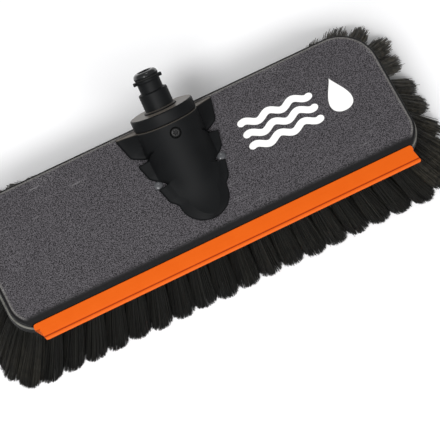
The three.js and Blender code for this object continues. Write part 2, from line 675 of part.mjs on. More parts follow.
function bristles() {
  const group = new THREE.Group();
  for (let row = 0; row < ROWS; row++) {
    const outer = { 0: "front_tuft_row", [ROWS - 1]: "back_tuft_row" };
    group.add(piece(outer[row] ?? "inner_tuft_row_" + row, geometryOf(tuftRow(row)), BRISTLE));
  }
  group.add(piece("left_end_tufts", geometryOf(tuftEnd(-1)), BRISTLE));
  group.add(piece("right_end_tufts", geometryOf(tuftEnd(1)), BRISTLE));
  return group;
}

// Identical screws that point upwards, their heads on the seat and their tips at height tip.
function screws(name, places, seat, tip) {
  const group = new THREE.Group();
  const geometry = geometryOf(screw(tip - seat));
  places.forEach(([x, y], i) => {
    const mesh = piece(name + (i + 1), geometry, STEEL);
    mesh.position.set(x, y, tip);
    mesh.rotation.x = Math.PI;
    group.add(mesh);
  });
  return group;
}

function washBrush() {
  const head = new THREE.Group();
  head.add(
    piece("deck_cover", geometryOf(deckCover()), COVER_PLASTIC),
    piece("bristle_board", geometryOf(bristleBoard()), BOARD_PLASTIC),
    piece("board_gasket", geometryOf(boardGasket()), SEAL_RUBBER),
    piece("squeegee_strip", geometryOf(squeegeeStrip()), ORANGE_RUBBER),
    piece("inlet_housing", geometryOf(inletHousing()), BLACK_PLASTIC),
    inletGroup(),
    bristles(),
    screws("board_screw_", BOARD_SCREWS, -BOARD_THICKNESS + SCREW_HEAD_HEIGHT, BOARD_SCREW_TIP),
    screws("housing_screw_", HOUSING_SCREWS, COVER_HEIGHT - COVER_SKIN - CLEARANCE, HOUSING_SCREW_TIP),
  );
  return head;
}

// The part's frame: origin on the surface that the bristle tips stand on, mid-footprint.
const part = new THREE.Group();
const head = washBrush();
part.add(head);
const bounds = new THREE.Box3().setFromObject(head, true);
head.position.set(0, -(bounds.min.y + bounds.max.y) / 2, -bounds.min.z);

export default part;
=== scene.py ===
# %% [markdown]
# # A flat wash brush head
#
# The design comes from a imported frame: bodies, nodes, sizes and one swivel joint. This script
# adds the looks. Each visible plastic piece is worked out again as a smooth surface with numpy,
# the tufts become real filaments, and every piece gets a finish made of shader nodes. Nothing is
# moved or resized: every position below is read from the frame.

import json
import math

import bmesh
import bpy
import numpy as np
from mathutils import Matrix, Vector


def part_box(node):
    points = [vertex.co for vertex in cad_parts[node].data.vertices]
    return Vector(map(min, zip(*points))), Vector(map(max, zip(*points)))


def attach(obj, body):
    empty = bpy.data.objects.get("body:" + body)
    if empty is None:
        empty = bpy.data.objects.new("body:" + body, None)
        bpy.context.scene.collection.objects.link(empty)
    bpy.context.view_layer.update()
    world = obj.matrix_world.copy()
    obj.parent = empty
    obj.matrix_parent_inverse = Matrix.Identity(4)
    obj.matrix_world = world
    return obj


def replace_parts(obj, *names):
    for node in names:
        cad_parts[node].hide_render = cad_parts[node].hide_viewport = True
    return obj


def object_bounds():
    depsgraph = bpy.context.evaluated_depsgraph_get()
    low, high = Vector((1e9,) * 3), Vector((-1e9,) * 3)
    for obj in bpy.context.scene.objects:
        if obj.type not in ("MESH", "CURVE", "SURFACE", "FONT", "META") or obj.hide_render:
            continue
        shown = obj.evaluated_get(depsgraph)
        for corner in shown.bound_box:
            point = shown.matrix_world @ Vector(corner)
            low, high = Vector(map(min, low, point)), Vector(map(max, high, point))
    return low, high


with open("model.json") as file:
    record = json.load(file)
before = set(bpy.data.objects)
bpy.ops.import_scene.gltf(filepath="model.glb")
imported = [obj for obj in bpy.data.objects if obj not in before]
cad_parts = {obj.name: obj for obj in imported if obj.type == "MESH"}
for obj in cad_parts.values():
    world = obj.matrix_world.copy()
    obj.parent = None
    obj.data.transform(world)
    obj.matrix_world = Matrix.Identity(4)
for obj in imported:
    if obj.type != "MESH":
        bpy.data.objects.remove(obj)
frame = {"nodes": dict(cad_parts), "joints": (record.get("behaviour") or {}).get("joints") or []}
CAD_BOX = [list(corner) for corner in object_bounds()]

# %% [markdown]
# ## Sizes from the frame
#
# The head's own directions are used throughout: x along the head, y towards the lance, z up.
# The middle of the board, at the joint between board and cover, is the place to measure from.
# Millimetres are easier to read than metres, so `MM` turns one into the other.

# %% Sizes that everything else is placed by
MM = 0.001
board_low, board_high = np.array(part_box("bristle_board"))
cover_high = np.array(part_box("deck_cover")[1])
strip_low, strip_high = np.array(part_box("squeegee_strip"))
spigot_high = np.array(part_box("inlet_spigot")[1])
HALF_LENGTH = board_high[0]
HALF_WIDTH = (board_high[1] - board_low[1]) / 2
HEAD = np.array([0, (board_high[1] + board_low[1]) / 2, board_high[2]])
BOARD_THICKNESS = board_high[2] - board_low[2]
COVER_INSET = HALF_LENGTH - cover_high[0]
COVER_HEIGHT = cover_high[2] - board_high[2]
FRONT_CORNER = 19 * MM
BACK_CORNER = 27 * MM
swivel = frame["joints"][0]
AXIS = np.array(swivel["axis"])
MOUTH = np.array(swivel["pos_m"])
MOUTH_RADIUS = spigot_high[0]
print("head", 2 * HALF_LENGTH, "by", 2 * HALF_WIDTH, "m, mouth radius", MOUTH_RADIUS)

# %% [markdown]
# ## Shader maths as expressions
#
# A procedural finish is mostly arithmetic on noise. `Value` wraps a socket and turns `+ - *`
# into Math nodes, so a mask reads like the formula that it is. `Finish` is one material: its
# `node` method adds any other kind of node, settings first and then inputs.


# %% Value and Finish
class Value:
    """A number that changes over a surface. Arithmetic on it adds Math nodes."""

    def __init__(self, finish, socket):
        self.finish, self.socket = finish, socket

    def _math(self, operation, *operands):
        node = self.finish.tree.nodes.new("ShaderNodeMath")
        node.operation = operation
        for slot, operand in zip(node.inputs, operands):
            self.finish.feed(slot, operand)
        return Value(self.finish, node.outputs[0])

    def __add__(self, other):
        return self._math("ADD", self, other)

    def __sub__(self, other):
        return self._math("SUBTRACT", self, other)

    def __rsub__(self, other):
        return self._math("SUBTRACT", other, self)

    def __mul__(self, other):
        return self._math("MULTIPLY", self, other)

    __radd__, __rmul__ = __add__, __mul__


# A Mix node's colour sockets have the same names as its other ones, so they go by number.
MIX_COLOUR_A, MIX_COLOUR_B, MIX_COLOUR_OUT = 6, 7, 2


class Finish:
    """A material with one Principled shader whose constants are set by socket name."""

    def __init__(self, name, **constants):
        self.material = bpy.data.materials.new(name)
        self.material.use_nodes = True
        self.tree = self.material.node_tree
        self.shader = self.tree.nodes["Principled BSDF"]
        for socket, value in constants.items():
            self.shader.inputs[socket.replace("_", " ")].default_value = value

    def feed(self, socket, value):
        if isinstance(value, Value):
            self.tree.links.new(value.socket, socket)
        else:
            socket.default_value = value

    def node(self, kind, settings={}, inputs={}, output=0):
        """Adds a node: settings are its properties and are set first, inputs its sockets."""
        node = self.tree.nodes.new("ShaderNode" + kind)
        for name, value in settings.items():
            setattr(node, name, value)
        for name, value in inputs.items():
            self.feed(node.inputs[name], value)
        return Value(self, node.outputs[output])

    def place(self, scale=(1, 1, 1), turn=0):
        """Object coordinates, turned about z and stretched by scale."""
        inputs = {"Vector": self.node("TexCoord", output="Object"), "Scale": scale}
        return self.node("Mapping", inputs=inputs | {"Rotation": (0, 0, turn)})

    def noise(self, per_metre, detail=2.0, roughness=0.5, scale=(1, 1, 1), turn=0):
        inputs = {"Vector": self.place(scale, turn), "Scale": per_metre}
        inputs |= {"Detail": detail, "Roughness": roughness}
        return self.node("TexNoise", inputs=inputs)

    def mask(self, value, low, high):
        """0 below low, 1 above high, smooth between."""
        settings = {"interpolation_type": "SMOOTHSTEP"}
        inputs = {"Value": value, "From Min": low, "From Max": high}
        return self.node("MapRange", settings, inputs)

    def attribute(self, name):
        return self.node("Attribute", {"attribute_name": name}, output="Fac")

    def mix(self, factor, first, second):
        """The first colour where factor is 0, the second where it is 1."""
        inputs = {"Factor": factor, MIX_COLOUR_A: first, MIX_COLOUR_B: second}
        return self.node("Mix", {"data_type": "RGBA"}, inputs, MIX_COLOUR_OUT)

    def bump(self, height, distance, strength=1.0):
        inputs = {"Height": height, "Distance": distance, "Strength": strength}
        self.feed(self.shader.inputs["Normal"], self.node("Bump", inputs=inputs))

    def colour(self, value):
        self.feed(self.shader.inputs["Base Color"], value)

    def roughness(self, value):
        self.feed(self.shader.inputs["Roughness"], value)


def linear(red, green, blue):
    """A colour given in display values from 0 to 255, as the linear colour that shaders use."""
    share = np.array([red, green, blue]) / 255
    return (*np.where(share < 0.04045, share / 12.92, ((share + 0.055) / 1.055) ** 2.4), 1)


# %% [markdown]
# ## Surfaces as rings
#
# Every solid here is a stack of closed rings of points: a cover's outline climbing its edge, a
# turned spigot's circles, a strip's cross-section carried along. One function turns such an
# array into a mesh, closes both ends and carries extra numbers per point for the finishes.


# %% Mesh helpers
def add_marks(mesh, marks, shape):
    """Stores named numbers for the mesh's points, each spread out to the given shape."""
    for mark, values in marks.items():
        layer = mesh.attributes.new(mark, "FLOAT", "POINT")
        layer.data.foreach_set("value", np.broadcast_to(values, shape).astype(np.float32).ravel())


def solid(name, rings, finish, body, marks={}, crease=35):
    """A closed mesh through rings[i, j]: faces join ring i to ring i + 1, and the first and
    last rings are filled flat. marks are named numbers per point, shaped like rings[..., 0]."""
    count, around = rings.shape[:2]
    index = np.arange(count * around).reshape(count, around)
    following = np.roll(index, -1, axis=1)
    quads = np.stack([index[:-1], following[:-1], following[1:], index[1:]], -1).reshape(-1, 4)
    faces = quads.tolist() + [index[0][::-1].tolist(), index[-1].tolist()]
    mesh = bpy.data.meshes.new(name)
    mesh.from_pydata(rings.reshape(-1, 3), [], faces)
    add_marks(mesh, marks, (count, around))
    work = bmesh.new()
    work.from_mesh(mesh)
    bmesh.ops.remove_doubles(work, verts=work.verts, dist=0.002 * MM)
    if work.calc_volume(signed=True) < 0:
        bmesh.ops.reverse_faces(work, faces=work.faces)
    work.to_mesh(mesh)
    work.free()
    return piece(name, mesh, finish, body, crease)


def piece(name, mesh, finish, body, crease=35):
    """Shades a mesh smooth up to the crease angle and puts it on its CAD body."""
    mesh.polygons.foreach_set("use_smooth", np.ones(len(mesh.polygons), bool))
    mesh.set_sharp_from_angle(angle=math.radians(crease))
    mesh.materials.append(finish.material)
    made = bpy.data.objects.new(name, mesh)
    bpy.context.scene.collection.objects.link(made)
    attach(made, body)
    print(name, len(mesh.vertices), "points")
    return made


def cut(made, tool):
    """Takes the solid tool out of made, once and for all, and removes the tool."""
    cutter = made.modifiers.new("cut", "BOOLEAN")
    cutter.object, cutter.operation, cutter.solver = tool, "DIFFERENCE", "EXACT"
    bpy.context.view_layer.update()
    shape = made.evaluated_get(bpy.context.evaluated_depsgraph_get())
    made.modifiers.clear()
    old = made.data
    made.data = bpy.data.meshes.new_from_object(shape)
    bpy.data.meshes.remove(old)
    bpy.data.objects.remove(tool)


def smoothstep(low, high, value):
    share = np.clip((value - low) / (high - low), 0, 1)
    return share * share * (3 - 2 * share)


def rounding(start, end, corner, steps=6):
    """Points of a quarter-round from start to end that bulges to corner, as (n, 2) values."""
    angle = np.linspace(0, math.pi / 2, steps)[:, None]
    start, end, corner = (np.array(point, float) for point in (start, end, corner))
    return corner + (start - corner) * (1 - np.sin(angle)) + (end - corner) * (1 - np.cos(angle))


# %% [markdown]
# ## The cover's grained plastic
#
# The cover is moulded in dark grey with a fine grain like coarse paper. The grain shows as small
# light and dark specks and breaks up the sheen. It stops at the shoulder in front, which is
# smooth, and there and on the cover's wall the colour is painted nearly black as shade. A thin
# pale line just inside where the top turns down is a painted highlight, and handling has left
# faint scuffs, most of them near the edges.


# %% Finish: grained cover
def grained_cover():
    finish = Finish("grained_cover", Specular_IOR_Level=0.14)
    grain = finish.noise(1900, 1.5, 0.65) * 0.75 + finish.noise(1000, 2.5, 0.6) * 0.25
    specks = finish.mask(grain, 0.41, 0.59)
    textured = finish.mix(specks, linear(20, 19, 21), linear(95, 92, 96))
    near_edge = finish.attribute("edge")
    patches = finish.mask(finish.noise(45, 2), 0.5, 0.66)
    along = finish.mask(finish.noise(230, 1, 0.5, (0.05, 1.6, 1), 0.5), 0.69, 0.74)
    across = finish.mask(finish.noise(260, 1, 0.5, (0.07, 1.8, 1), -0.9), 0.7, 0.75)
    scuffs = finish.mask(grain, 0.5, 0.6) * patches * (near_edge * 0.45 + 0.08)
    scratches = (along + across) * patches * (near_edge * 0.5 + 0.35)
    lightened = finish.mix(scuffs + scratches, textured, linear(134, 132, 134))
    # The shoulder and the wall have no grain and are painted nearly black as shade.
    smooth_shaded = finish.attribute("shoulder")
    with_shaded_shoulder = finish.mix(smooth_shaded, lightened, linear(15, 15, 16))
    # A painted highlight: a pale line along the rim where the top turns down.
    rim_highlight = finish.attribute("rim_highlight") * (0.45 + specks * 0.35)
    finish.colour(finish.mix(rim_highlight, with_shaded_shoulder, linear(130, 128, 124)))
    finish.roughness(0.62 + specks * 0.1)
    finish.bump(grain * (1 - smooth_shaded), 0.25 * MM, 0.8)
    return finish


GRAINED_COVER = grained_cover()


def clouded(name, reflection, cloud_size, colours, rough):
    """A plain finish: one noise moves it between two colours and between two roughnesses."""
    finish = Finish(name, Specular_IOR_Level=reflection)
    cloud = finish.noise(*cloud_size)
    dark, light = (linear(*colour) for colour in colours)
    finish.colour(finish.mix(cloud, dark, light))
    finish.roughness(rough[0] + cloud * rough[1])
    return finish, cloud

# %% [markdown]
# ## The cover
#
# The cover's outline is a rounded rectangle, rounder at the back. Moving it inwards keeps the
# corners' centres and shrinks their radii, so outlines at any inset have matching points and can
# be stacked as rings. The front is then shaped by two rules: a step for the squeegee, where the
# outline is held back, and a curved shoulder, where the height is limited.


# %% Outline
ARC_POINTS, SIDE_POINTS = 40, 120


def head_outline(inset):
    """Rounded rectangle moved inwards by inset: centre + (radius - inset) (cos a, sin a) in
    each corner, and evenly spaced points along each straight side. Anticlockwise, (n, 2)."""
    corners = [(1, 1, BACK_CORNER, 0), (-1, 1, BACK_CORNER, 1)]
    corners += [(-1, -1, FRONT_CORNER, 2), (1, -1, FRONT_CORNER, 3)]
    arcs = []
    for side_x, side_y, radius, quarter in corners:
        angle = (quarter + np.linspace(0, 1, ARC_POINTS)) * math.pi / 2
        centre = np.array([side_x * (HALF_LENGTH - radius), side_y * (HALF_WIDTH - radius)])
        arcs.append(centre + (radius - inset) * np.stack([np.cos(angle), np.sin(angle)], -1))
    points = []
    for arc, after in zip(arcs, arcs[1:] + arcs[:1]):
        share = np.linspace(0, 1, SIDE_POINTS)[1:-1, None]
        points += [arc, arc[-1] + (after[0] - arc[-1]) * share]
    return np.concatenate(points)


# %% Cover
CLEARANCE = 0.3 * MM
STRIP_KEY = 3.2 * MM
STEP_Y = strip_high[1] - HEAD[1] - STRIP_KEY + CLEARANCE
STEP_Z = strip_low[2] - HEAD[2] - CLEARANCE
STRIP_BACK, STRIP_FRONT = STEP_Y - CLEARANCE, strip_low[1] - HEAD[1]
SHOULDER = 5.9 * MM
SHOULDER_DROP, SHOULDER_CURVE = 2.3 * MM, 1.6
EDGE_RADIUS = 2.4 * MM
# Where the pale painted highlight runs inside the top's edge, and how wide it is.
HIGHLIGHT_INSET, HIGHLIGHT_WIDTH = 2.1 * MM, 0.42 * MM
STEP_LEAN = 0.6


def place_on_head(plan, height):
    """Points at plan = (x, y) and height above the joint, in the frame's coordinates."""
    height = np.broadcast_to(height, plan.shape[:-1])
    return np.concatenate([plan, height[..., None]], -1) + HEAD


def shoulder_height(y):
    """The cover's height limit: flat, then a curve that steepens towards the step."""
    share = np.clip((STEP_Y + SHOULDER - y) / SHOULDER, 0, 1)
    return COVER_HEIGHT - SHOULDER_DROP * share**SHOULDER_CURVE


def make_cover():
    """Rings: bottom, wall up to the step, step, upper wall, rounded edge, flat top."""
    rise, crown = 0.3 * MM, COVER_HEIGHT
    edge = rounding((0, crown - EDGE_RADIUS), (EDGE_RADIUS, crown), (0, crown), 10)
    top = [(inset * MM, crown) for inset in (3.2, 4.2, 5.2, 6.4, 8, 10)]
    lower = [(6 * MM, rise), (0.4 * MM, rise), (0, rise + 0.4 * MM), (0, STEP_Z)]
    rings, shoulders, edges, rim_highlights = [], [], [], []
    for inset, height in lower + [(0, STEP_Z), (0, STEP_Z + 0.8 * MM), *edge, *top]:
        upper = len(rings) >= len(lower)
        plan = head_outline(COVER_INSET + inset)
        if upper:
            held = STEP_Y + inset * STEP_LEAN
            plan[:, 1] = np.where(plan[:, 1] < held, held, plan[:, 1])
        limit = shoulder_height(plan[:, 1]) if upper else COVER_HEIGHT
        heights = np.minimum(height, limit)
        rings.append(place_on_head(plan, heights))
        # Shoulder and wall: no grain, and painted nearly black as shade.
        front = smoothstep(STEP_Y + SHOULDER + 0.4 * MM, STEP_Y + SHOULDER - 3.4 * MM, plan[:, 1])
        wall = 1 - smoothstep(1.2 * MM, 2.1 * MM, inset)
        shoulders.append(np.maximum(front, wall))
        edges.append(np.full(len(plan), 1 - smoothstep(2 * MM, 10 * MM, inset)))
        # A painted highlight just inside the rounded edge, left off the shoulder.
        rim_highlights.append(np.exp(-(((inset - HIGHLIGHT_INSET) / HIGHLIGHT_WIDTH) ** 2)) * (1 - front))
    marks = {"shoulder": np.array(shoulders), "edge": np.array(edges), "rim_highlight": np.array(rim_highlights)}
    made = solid("cover", np.array(rings), GRAINED_COVER, "head", marks)
    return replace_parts(made, "deck_cover")


make_cover()

# %% [markdown]
# ## Board
#
# The board carries the tufts. Only its edge shows: a thin line outside the cover, whose rounded
# corner is painted pale grey in patches as a highlight.


# %% Board
def board_plastic():
    finish = Finish("board_plastic", Specular_IOR_Level=0.2)
    flow = finish.noise(240, 3)
    # A painted highlight: the rounded edge is coloured pale grey in patches.
    edge_highlight = finish.attribute("edge") * finish.mask(flow, 0.15, 0.55)
    finish.colour(finish.mix(edge_highlight, linear(18, 18, 18), linear(120, 119, 113)))
    finish.roughness(0.5 - edge_highlight * 0.12 + flow * 0.1)
    finish.bump(finish.noise(900, 2), 0.05 * MM)
    return finish


BOARD_PLASTIC = board_plastic()


def make_board():
    """Rings: underside, rounded lower corner, edge, rounded upper corner, top."""
    low, round_by = -BOARD_THICKNESS, 0.55 * MM
    lower = rounding((round_by, low), (0, low + round_by), (0, low))
    upper = rounding((0, -round_by), (round_by, 0), (0, 0))
    path = [(4 * MM, low), *lower, (0, -2.2 * MM), *upper, (4 * MM, 0)]
    rings = np.array([place_on_head(head_outline(inset), z) for inset, z in path])
    height = rings[..., 2] - HEAD[2]
    inset = np.array(path)[:, :1]
    corner = smoothstep(-0.45 * MM, -0.1 * MM, height)
    board_highlight = corner * (1 - smoothstep(0.5 * MM, 0.95 * MM, inset))
    # The mark "edge" paints the rounded upper corner pale, as a highlight.
    made = solid("board", rings, BOARD_PLASTIC, "head", {"edge": board_highlight})
    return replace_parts(made, "bristle_board")


make_board()

# %% [markdown]
# ## Squeegee strip
#
# A soft orange strip lies on the step and reaches out over the bristles. Its cross-section is
# one closed curve: flat on top, thinner in front, with a groove just behind the bead that wipes.
# That curve is carried along the head. How far it is carried depends on where a point lies in
# the curve, which gives the ends their rounded corners and the notch where they pass the board.


# %% Finish: orange rubber
def orange_rubber():
    finish = Finish("orange_rubber", Specular_IOR_Level=0.15)
    cloud = finish.noise(90, 3)
    body = finish.mix(cloud, linear(211, 86, 6), linear(218, 93, 10))
    pale = finish.mix(finish.attribute("edge"), body, linear(220, 94, 12))
    # A painted shade: the groove behind the bead is coloured dark red.
    finish.colour(finish.mix(finish.attribute("groove_shade"), pale, linear(120, 14, 3)))
    finish.roughness(0.42 + cloud * 0.12)
    finish.bump(finish.noise(700, 2), 0.06 * MM)
    return finish


ORANGE_RUBBER = orange_rubber()


# %% Squeegee
def strip_section():
    """The strip's cross-section as (y, z) corners from the back, over the top, and round."""
    back, front = STRIP_BACK, STRIP_FRONT
    top, low = strip_high[2] - HEAD[2], strip_low[2] - HEAD[2]
    behind = [(back, low + 0.3 * MM), (back, top - 0.35 * MM), (back - 0.35 * MM, top)]
    blade_and_groove = [(7.4, 0.12), (4.2, 0.32), (2.9, 0.5), (2.62, 0.95), (2.3, 1.02)]
    bead = [(2.0, 0.74), (1.5, 0.62), (0.7, 0.78), (0.2, 1.1), (0, 1.6), (0.35, 2.2)]
    from_corner = np.array(blade_and_groove + bead) * MM
    over = np.array([front, top]) + from_corner * [1, -1]
    under = [(front + 1.2 * MM, low), (back - 0.3 * MM, low)]
    return np.concatenate([behind, over, under])


def evenly(points, spacing):
    """The closed polygon through points, with extra points so that none is further apart."""
    ahead = np.roll(points, -1, axis=0)
    parts = []
    for start, end in zip(points, ahead):
        steps = max(1, int(np.ceil(np.linalg.norm(end - start) / spacing)))
        parts.append(start + (end - start) * np.linspace(0, 1, steps, endpoint=False)[:, None])
    return np.concatenate(parts)


NOTCH_WIDTH, NOTCH_DEPTH = 0.6 * MM, 0.3 * MM


def round_corner(distance, radius):
    """How far a rounded corner draws an end in: r (1 - sqrt(1 - (1 - d / r)^2))."""
    return radius * (1 - np.sqrt(1 - np.clip(1 - distance / radius, 0, 1) ** 2))


def strip_end(y, band_end, blade_back, blade_front):
    """How far the strip reaches as a function of y: a band with a rounded back corner, a small
    notch at the board's edge, and a blade that runs slanting to a rounded front corner."""
    notch_y = -HALF_WIDTH - CLEARANCE
    slant = np.clip((notch_y - y) / (notch_y - STRIP_FRONT), 0, 1)
    end = np.where(y > notch_y, band_end, blade_back + (blade_front - blade_back) * slant)
    notch = np.exp(-(((y - notch_y) / NOTCH_WIDTH) ** 2)) * NOTCH_DEPTH
    corners = round_corner(STRIP_BACK - y, 1.9 * MM) + round_corner(y - STRIP_FRONT, 1.2 * MM)
    return end - notch - corners


def make_strip():
    """The cross-section carried along x, between the two ends, which differ: the blade starts
    further in than the band at the left and runs out past it at the right."""
    section = evenly(strip_section(), 0.28 * MM)
    middle = section.mean(0)
    along = np.tanh(np.linspace(-2.2, 2.2, 61)) / np.tanh(2.2)
    turn = np.linspace(0, math.pi / 2, 6)[1:]
    round_by = 0.35 * MM
    full = strip_high[0]
    left = -strip_end(section[:, 0], full, full - 2.4 * MM, full - 3.9 * MM)
    right = strip_end(section[:, 0], full + 0.2 * MM, full - 0.4 * MM, full + 1.3 * MM)
    middle_x, half = (left + right) / 2, (right - left) / 2
    rings = [ring_at(section, middle_x + share * (half - round_by)) for share in along]
    for angle in turn:
        slim = section + (middle - section) * np.array([0.02, 0.28]) * (1 - math.cos(angle))
        out = half - round_by + round_by * math.sin(angle)
        rings.insert(0, ring_at(slim, middle_x - out))
        rings.append(ring_at(slim, middle_x + out))
    y, z = section.T
    out = y - STRIP_FRONT
    # The groove's top side, painted dark red as shade.
    groove_shade = np.exp(-(((out - 2.45 * MM) / (0.27 * MM)) ** 2)) * (z > z.mean())
    edge = smoothstep(1.9 * MM, 0.6 * MM, out) + smoothstep(STRIP_BACK - 0.7 * MM, STRIP_BACK, y)
    marks = {"groove_shade": groove_shade, "edge": np.clip(edge, 0, 1)}
    made = solid("squeegee", np.array(rings), ORANGE_RUBBER, "head", marks)
    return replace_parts(made, "squeegee_strip")


def ring_at(section, x):
    """The cross-section (y, z) as a ring of points whose x is given point by point."""
    return np.stack([np.broadcast_to(x, len(section)), *section.T], -1) + HEAD


make_strip()

# %% [markdown]
# ## Black plastic
#
# Housing and spigot are moulded in the same black plastic, smooth with a very fine spark-eroded
# texture. On so dark a surface it is the sheen that shows the shape, so roughness varies a
# little and the base colour hardly at all, except for a few pale painted reflections of the
# bright floor.


# %% Finish: black plastic
def black_plastic(name, level, roughness):
    """level is the strength of reflections. One mark paints a reflection of the bright floor
    behind the brush: a pale colour, a little smoother. "polish" adds a clear sheen."""
    finish = Finish(name, Specular_IOR_Level=level, Coat_Roughness=0.2)
    cloud = finish.noise(70, 3)
    speck = finish.noise(1400, 2)
    black = finish.mix(cloud, linear(15, 16, 17), linear(23, 24, 25))
    reflection_share = finish.attribute("painted_reflection")
    # A painted reflection: pale where a face would mirror the bright floor.
    finish.colour(finish.mix(reflection_share, black, linear(118, 111, 103)))
    finish.roughness(roughness + cloud * 0.1 + speck * 0.05 - reflection_share * 0.15)
    finish.feed(finish.shader.inputs["Coat Weight"], finish.attribute("polish"))
    finish.bump(speck, 0.04 * MM, 0.7)
    return finish


HOUSING_BLACK = black_plastic("housing_plastic", 0.09, 0.5)
SPIGOT_BLACK = black_plastic("spigot_plastic", 0.09, 0.42)

# %% [markdown]
# ## Inlet housing
#
# The housing is half a round barrel that slopes up to the spigot, and it flows out into a skirt
# with three pairs of pointed wings, like overlapping scales. Its height is a function of the
# place on the cover: the larger of barrel and skirt, blended where they meet. The grid's columns
# run from the round front end to the mouth, and its rows follow the skirt's outline.


# %% Housing: outline and height
ENVELOPE_BACK, ENVELOPE_TAPER = 33.6 * MM, 0.247
BACK_EDGE = HALF_WIDTH
WING_BACKS = BACK_EDGE - np.array([3.0, 27.3, 46.9]) * MM
WING_FRONTS = BACK_EDGE - np.array([17.0, 36.4]) * MM
NOTCH_DEPTHS = np.array([10.8, 6.6]) * MM
NOTCH_CURVES = ((0.1, 0.98, 1.4), (0.0, 0.85, 1.0))
NOSE_Y, NOSE_RADIUS = BACK_EDGE - 62 * MM, 16.2 * MM
AXIS_SLOPE = AXIS[2] / AXIS[1]
MOUTH_LOCAL = MOUTH - HEAD
RIM_HEIGHT, FOOT_HEIGHT = 1.5 * MM, 3.4 * MM
SCALE_RISE, EDGE_ROUND = 2.1 * MM, 1.1 * MM
BARREL_BLEND = 6 * MM


def envelope(y):
    return ENVELOPE_BACK - ENVELOPE_TAPER * (WING_BACKS[0] - y)


def skirt_half_width(y):
    """Half-width of the skirt: the tapering envelope, less a notch ahead of each of the two
    rear wings that deepens forwards and ends in a step, and an arc round the front end."""
    half = envelope(y)
    for front, back, depth, curve in zip(WING_FRONTS, WING_BACKS[1:], NOTCH_DEPTHS, NOTCH_CURVES):
        share = (front - y) / (front - back)
        start, end, power = curve
        hollow = smoothstep(start, end, share) ** power * (1 - smoothstep(0.985, 1, share))
        half = half - depth * hollow
    narrowing = smoothstep(NOSE_Y + 6 * MM, NOSE_Y + 0.5 * MM, y)
    half = half - (envelope(NOSE_Y) - NOSE_RADIUS) * narrowing
    arc = np.sqrt(np.clip(NOSE_RADIUS**2 - (NOSE_Y - y) ** 2, 0, None))
    return np.where(y < NOSE_Y, arc, half)


def smooth_max(first, second, blend):
    gap = np.maximum(blend - np.abs(first - second), 0)
    return np.maximum(first, second) + gap**2 / (4 * blend)


def edge_distance(x, y):
    """Distance in from the skirt's edge: sideways, or from the back edge of a wing."""
    across = np.abs(x)
    distance = skirt_half_width(y) - across
    for back, depth in zip(WING_BACKS[1:], NOTCH_DEPTHS):
        inner = envelope(back) - depth
        from_back = np.hypot(back - y, np.maximum(inner - across, 0))
        distance = np.where(y < back, np.minimum(distance, from_back), distance)
    return np.maximum(distance, 0)


def housing_height(x, y):
    """Height above the cover. Barrel: axis height + sqrt(R^2 - x^2) / cos(slope). Skirt: a
    curve from the rim up to the barrel's foot, plus a sawtooth along y that makes each wing
    stand over the one behind it like a scale."""
    half = skirt_half_width(y)
    reach = np.minimum(np.abs(x), half)
    axis = MOUTH_LOCAL[2] + (y - MOUTH_LOCAL[1]) * AXIS_SLOPE - COVER_HEIGHT
    foot = np.maximum(axis, FOOT_HEIGHT)
    share = np.clip((half - reach) / np.maximum(envelope(y) - MOUTH_RADIUS, 6.5 * MM), 0, 1)
    skirt = RIM_HEIGHT + (foot - RIM_HEIGHT) * share**1.5
    for back, ahead in zip(WING_BACKS, [*WING_BACKS[1:], NOSE_Y - 2 * MM]):
        tooth = np.clip(1 - (back - y) / (back - ahead), 0, 1) ** 1.3
        on_wing = (y <= back) & (y > ahead)
        skirt = skirt + on_wing * tooth * SCALE_RISE * smoothstep(9 * MM, 18 * MM, reach)
    radius = MOUTH_RADIUS
    barrel = axis + np.sqrt(np.clip(radius**2 - x**2, 0, None)) / AXIS[1]
    inside = smoothstep(radius * 1.0, radius * 0.97, np.abs(x))
    barrel = barrel * inside + (skirt - 10 * MM) * (1 - inside)
    height = smooth_max(barrel, skirt, BARREL_BLEND)
    edge = np.clip(edge_distance(x, y), 0, EDGE_ROUND)
    return height - (EDGE_ROUND - np.sqrt(2 * EDGE_ROUND * edge - edge**2))


# %% Housing: the surface
def rear_limit(share, inset):
    """y where a column meets the mouth's plane moved forwards by inset, found by halving."""
    low = np.full(share.shape, MOUTH_LOCAL[1] - 25 * MM)
    high = np.full(share.shape, BACK_EDGE + 4 * MM)
    for _ in range(40):
        y = (low + high) / 2
        x = skirt_half_width(y) * share
        z = COVER_HEIGHT + housing_height(x, y)
        beyond = (y - MOUTH_LOCAL[1]) * AXIS[1] + (z - MOUTH_LOCAL[2]) * AXIS[2] + inset > 0
        low, high = np.where(beyond, low, y), np.where(beyond, y, high)
    return y


def crowded(start, end, count, places):
    """Values from start to end that lie closer together round the given places."""
    line = np.linspace(start, end, 4000)
    density = 1 + sum(7 * np.exp(-(((line - place) / MM) ** 2)) for place in places)
    total = np.cumsum(density)
    return np.interp(np.linspace(total[0], total[-1], count), total, line)


COLUMNS, FRONT_ROWS, REAR_ROWS = 141, 250, 60


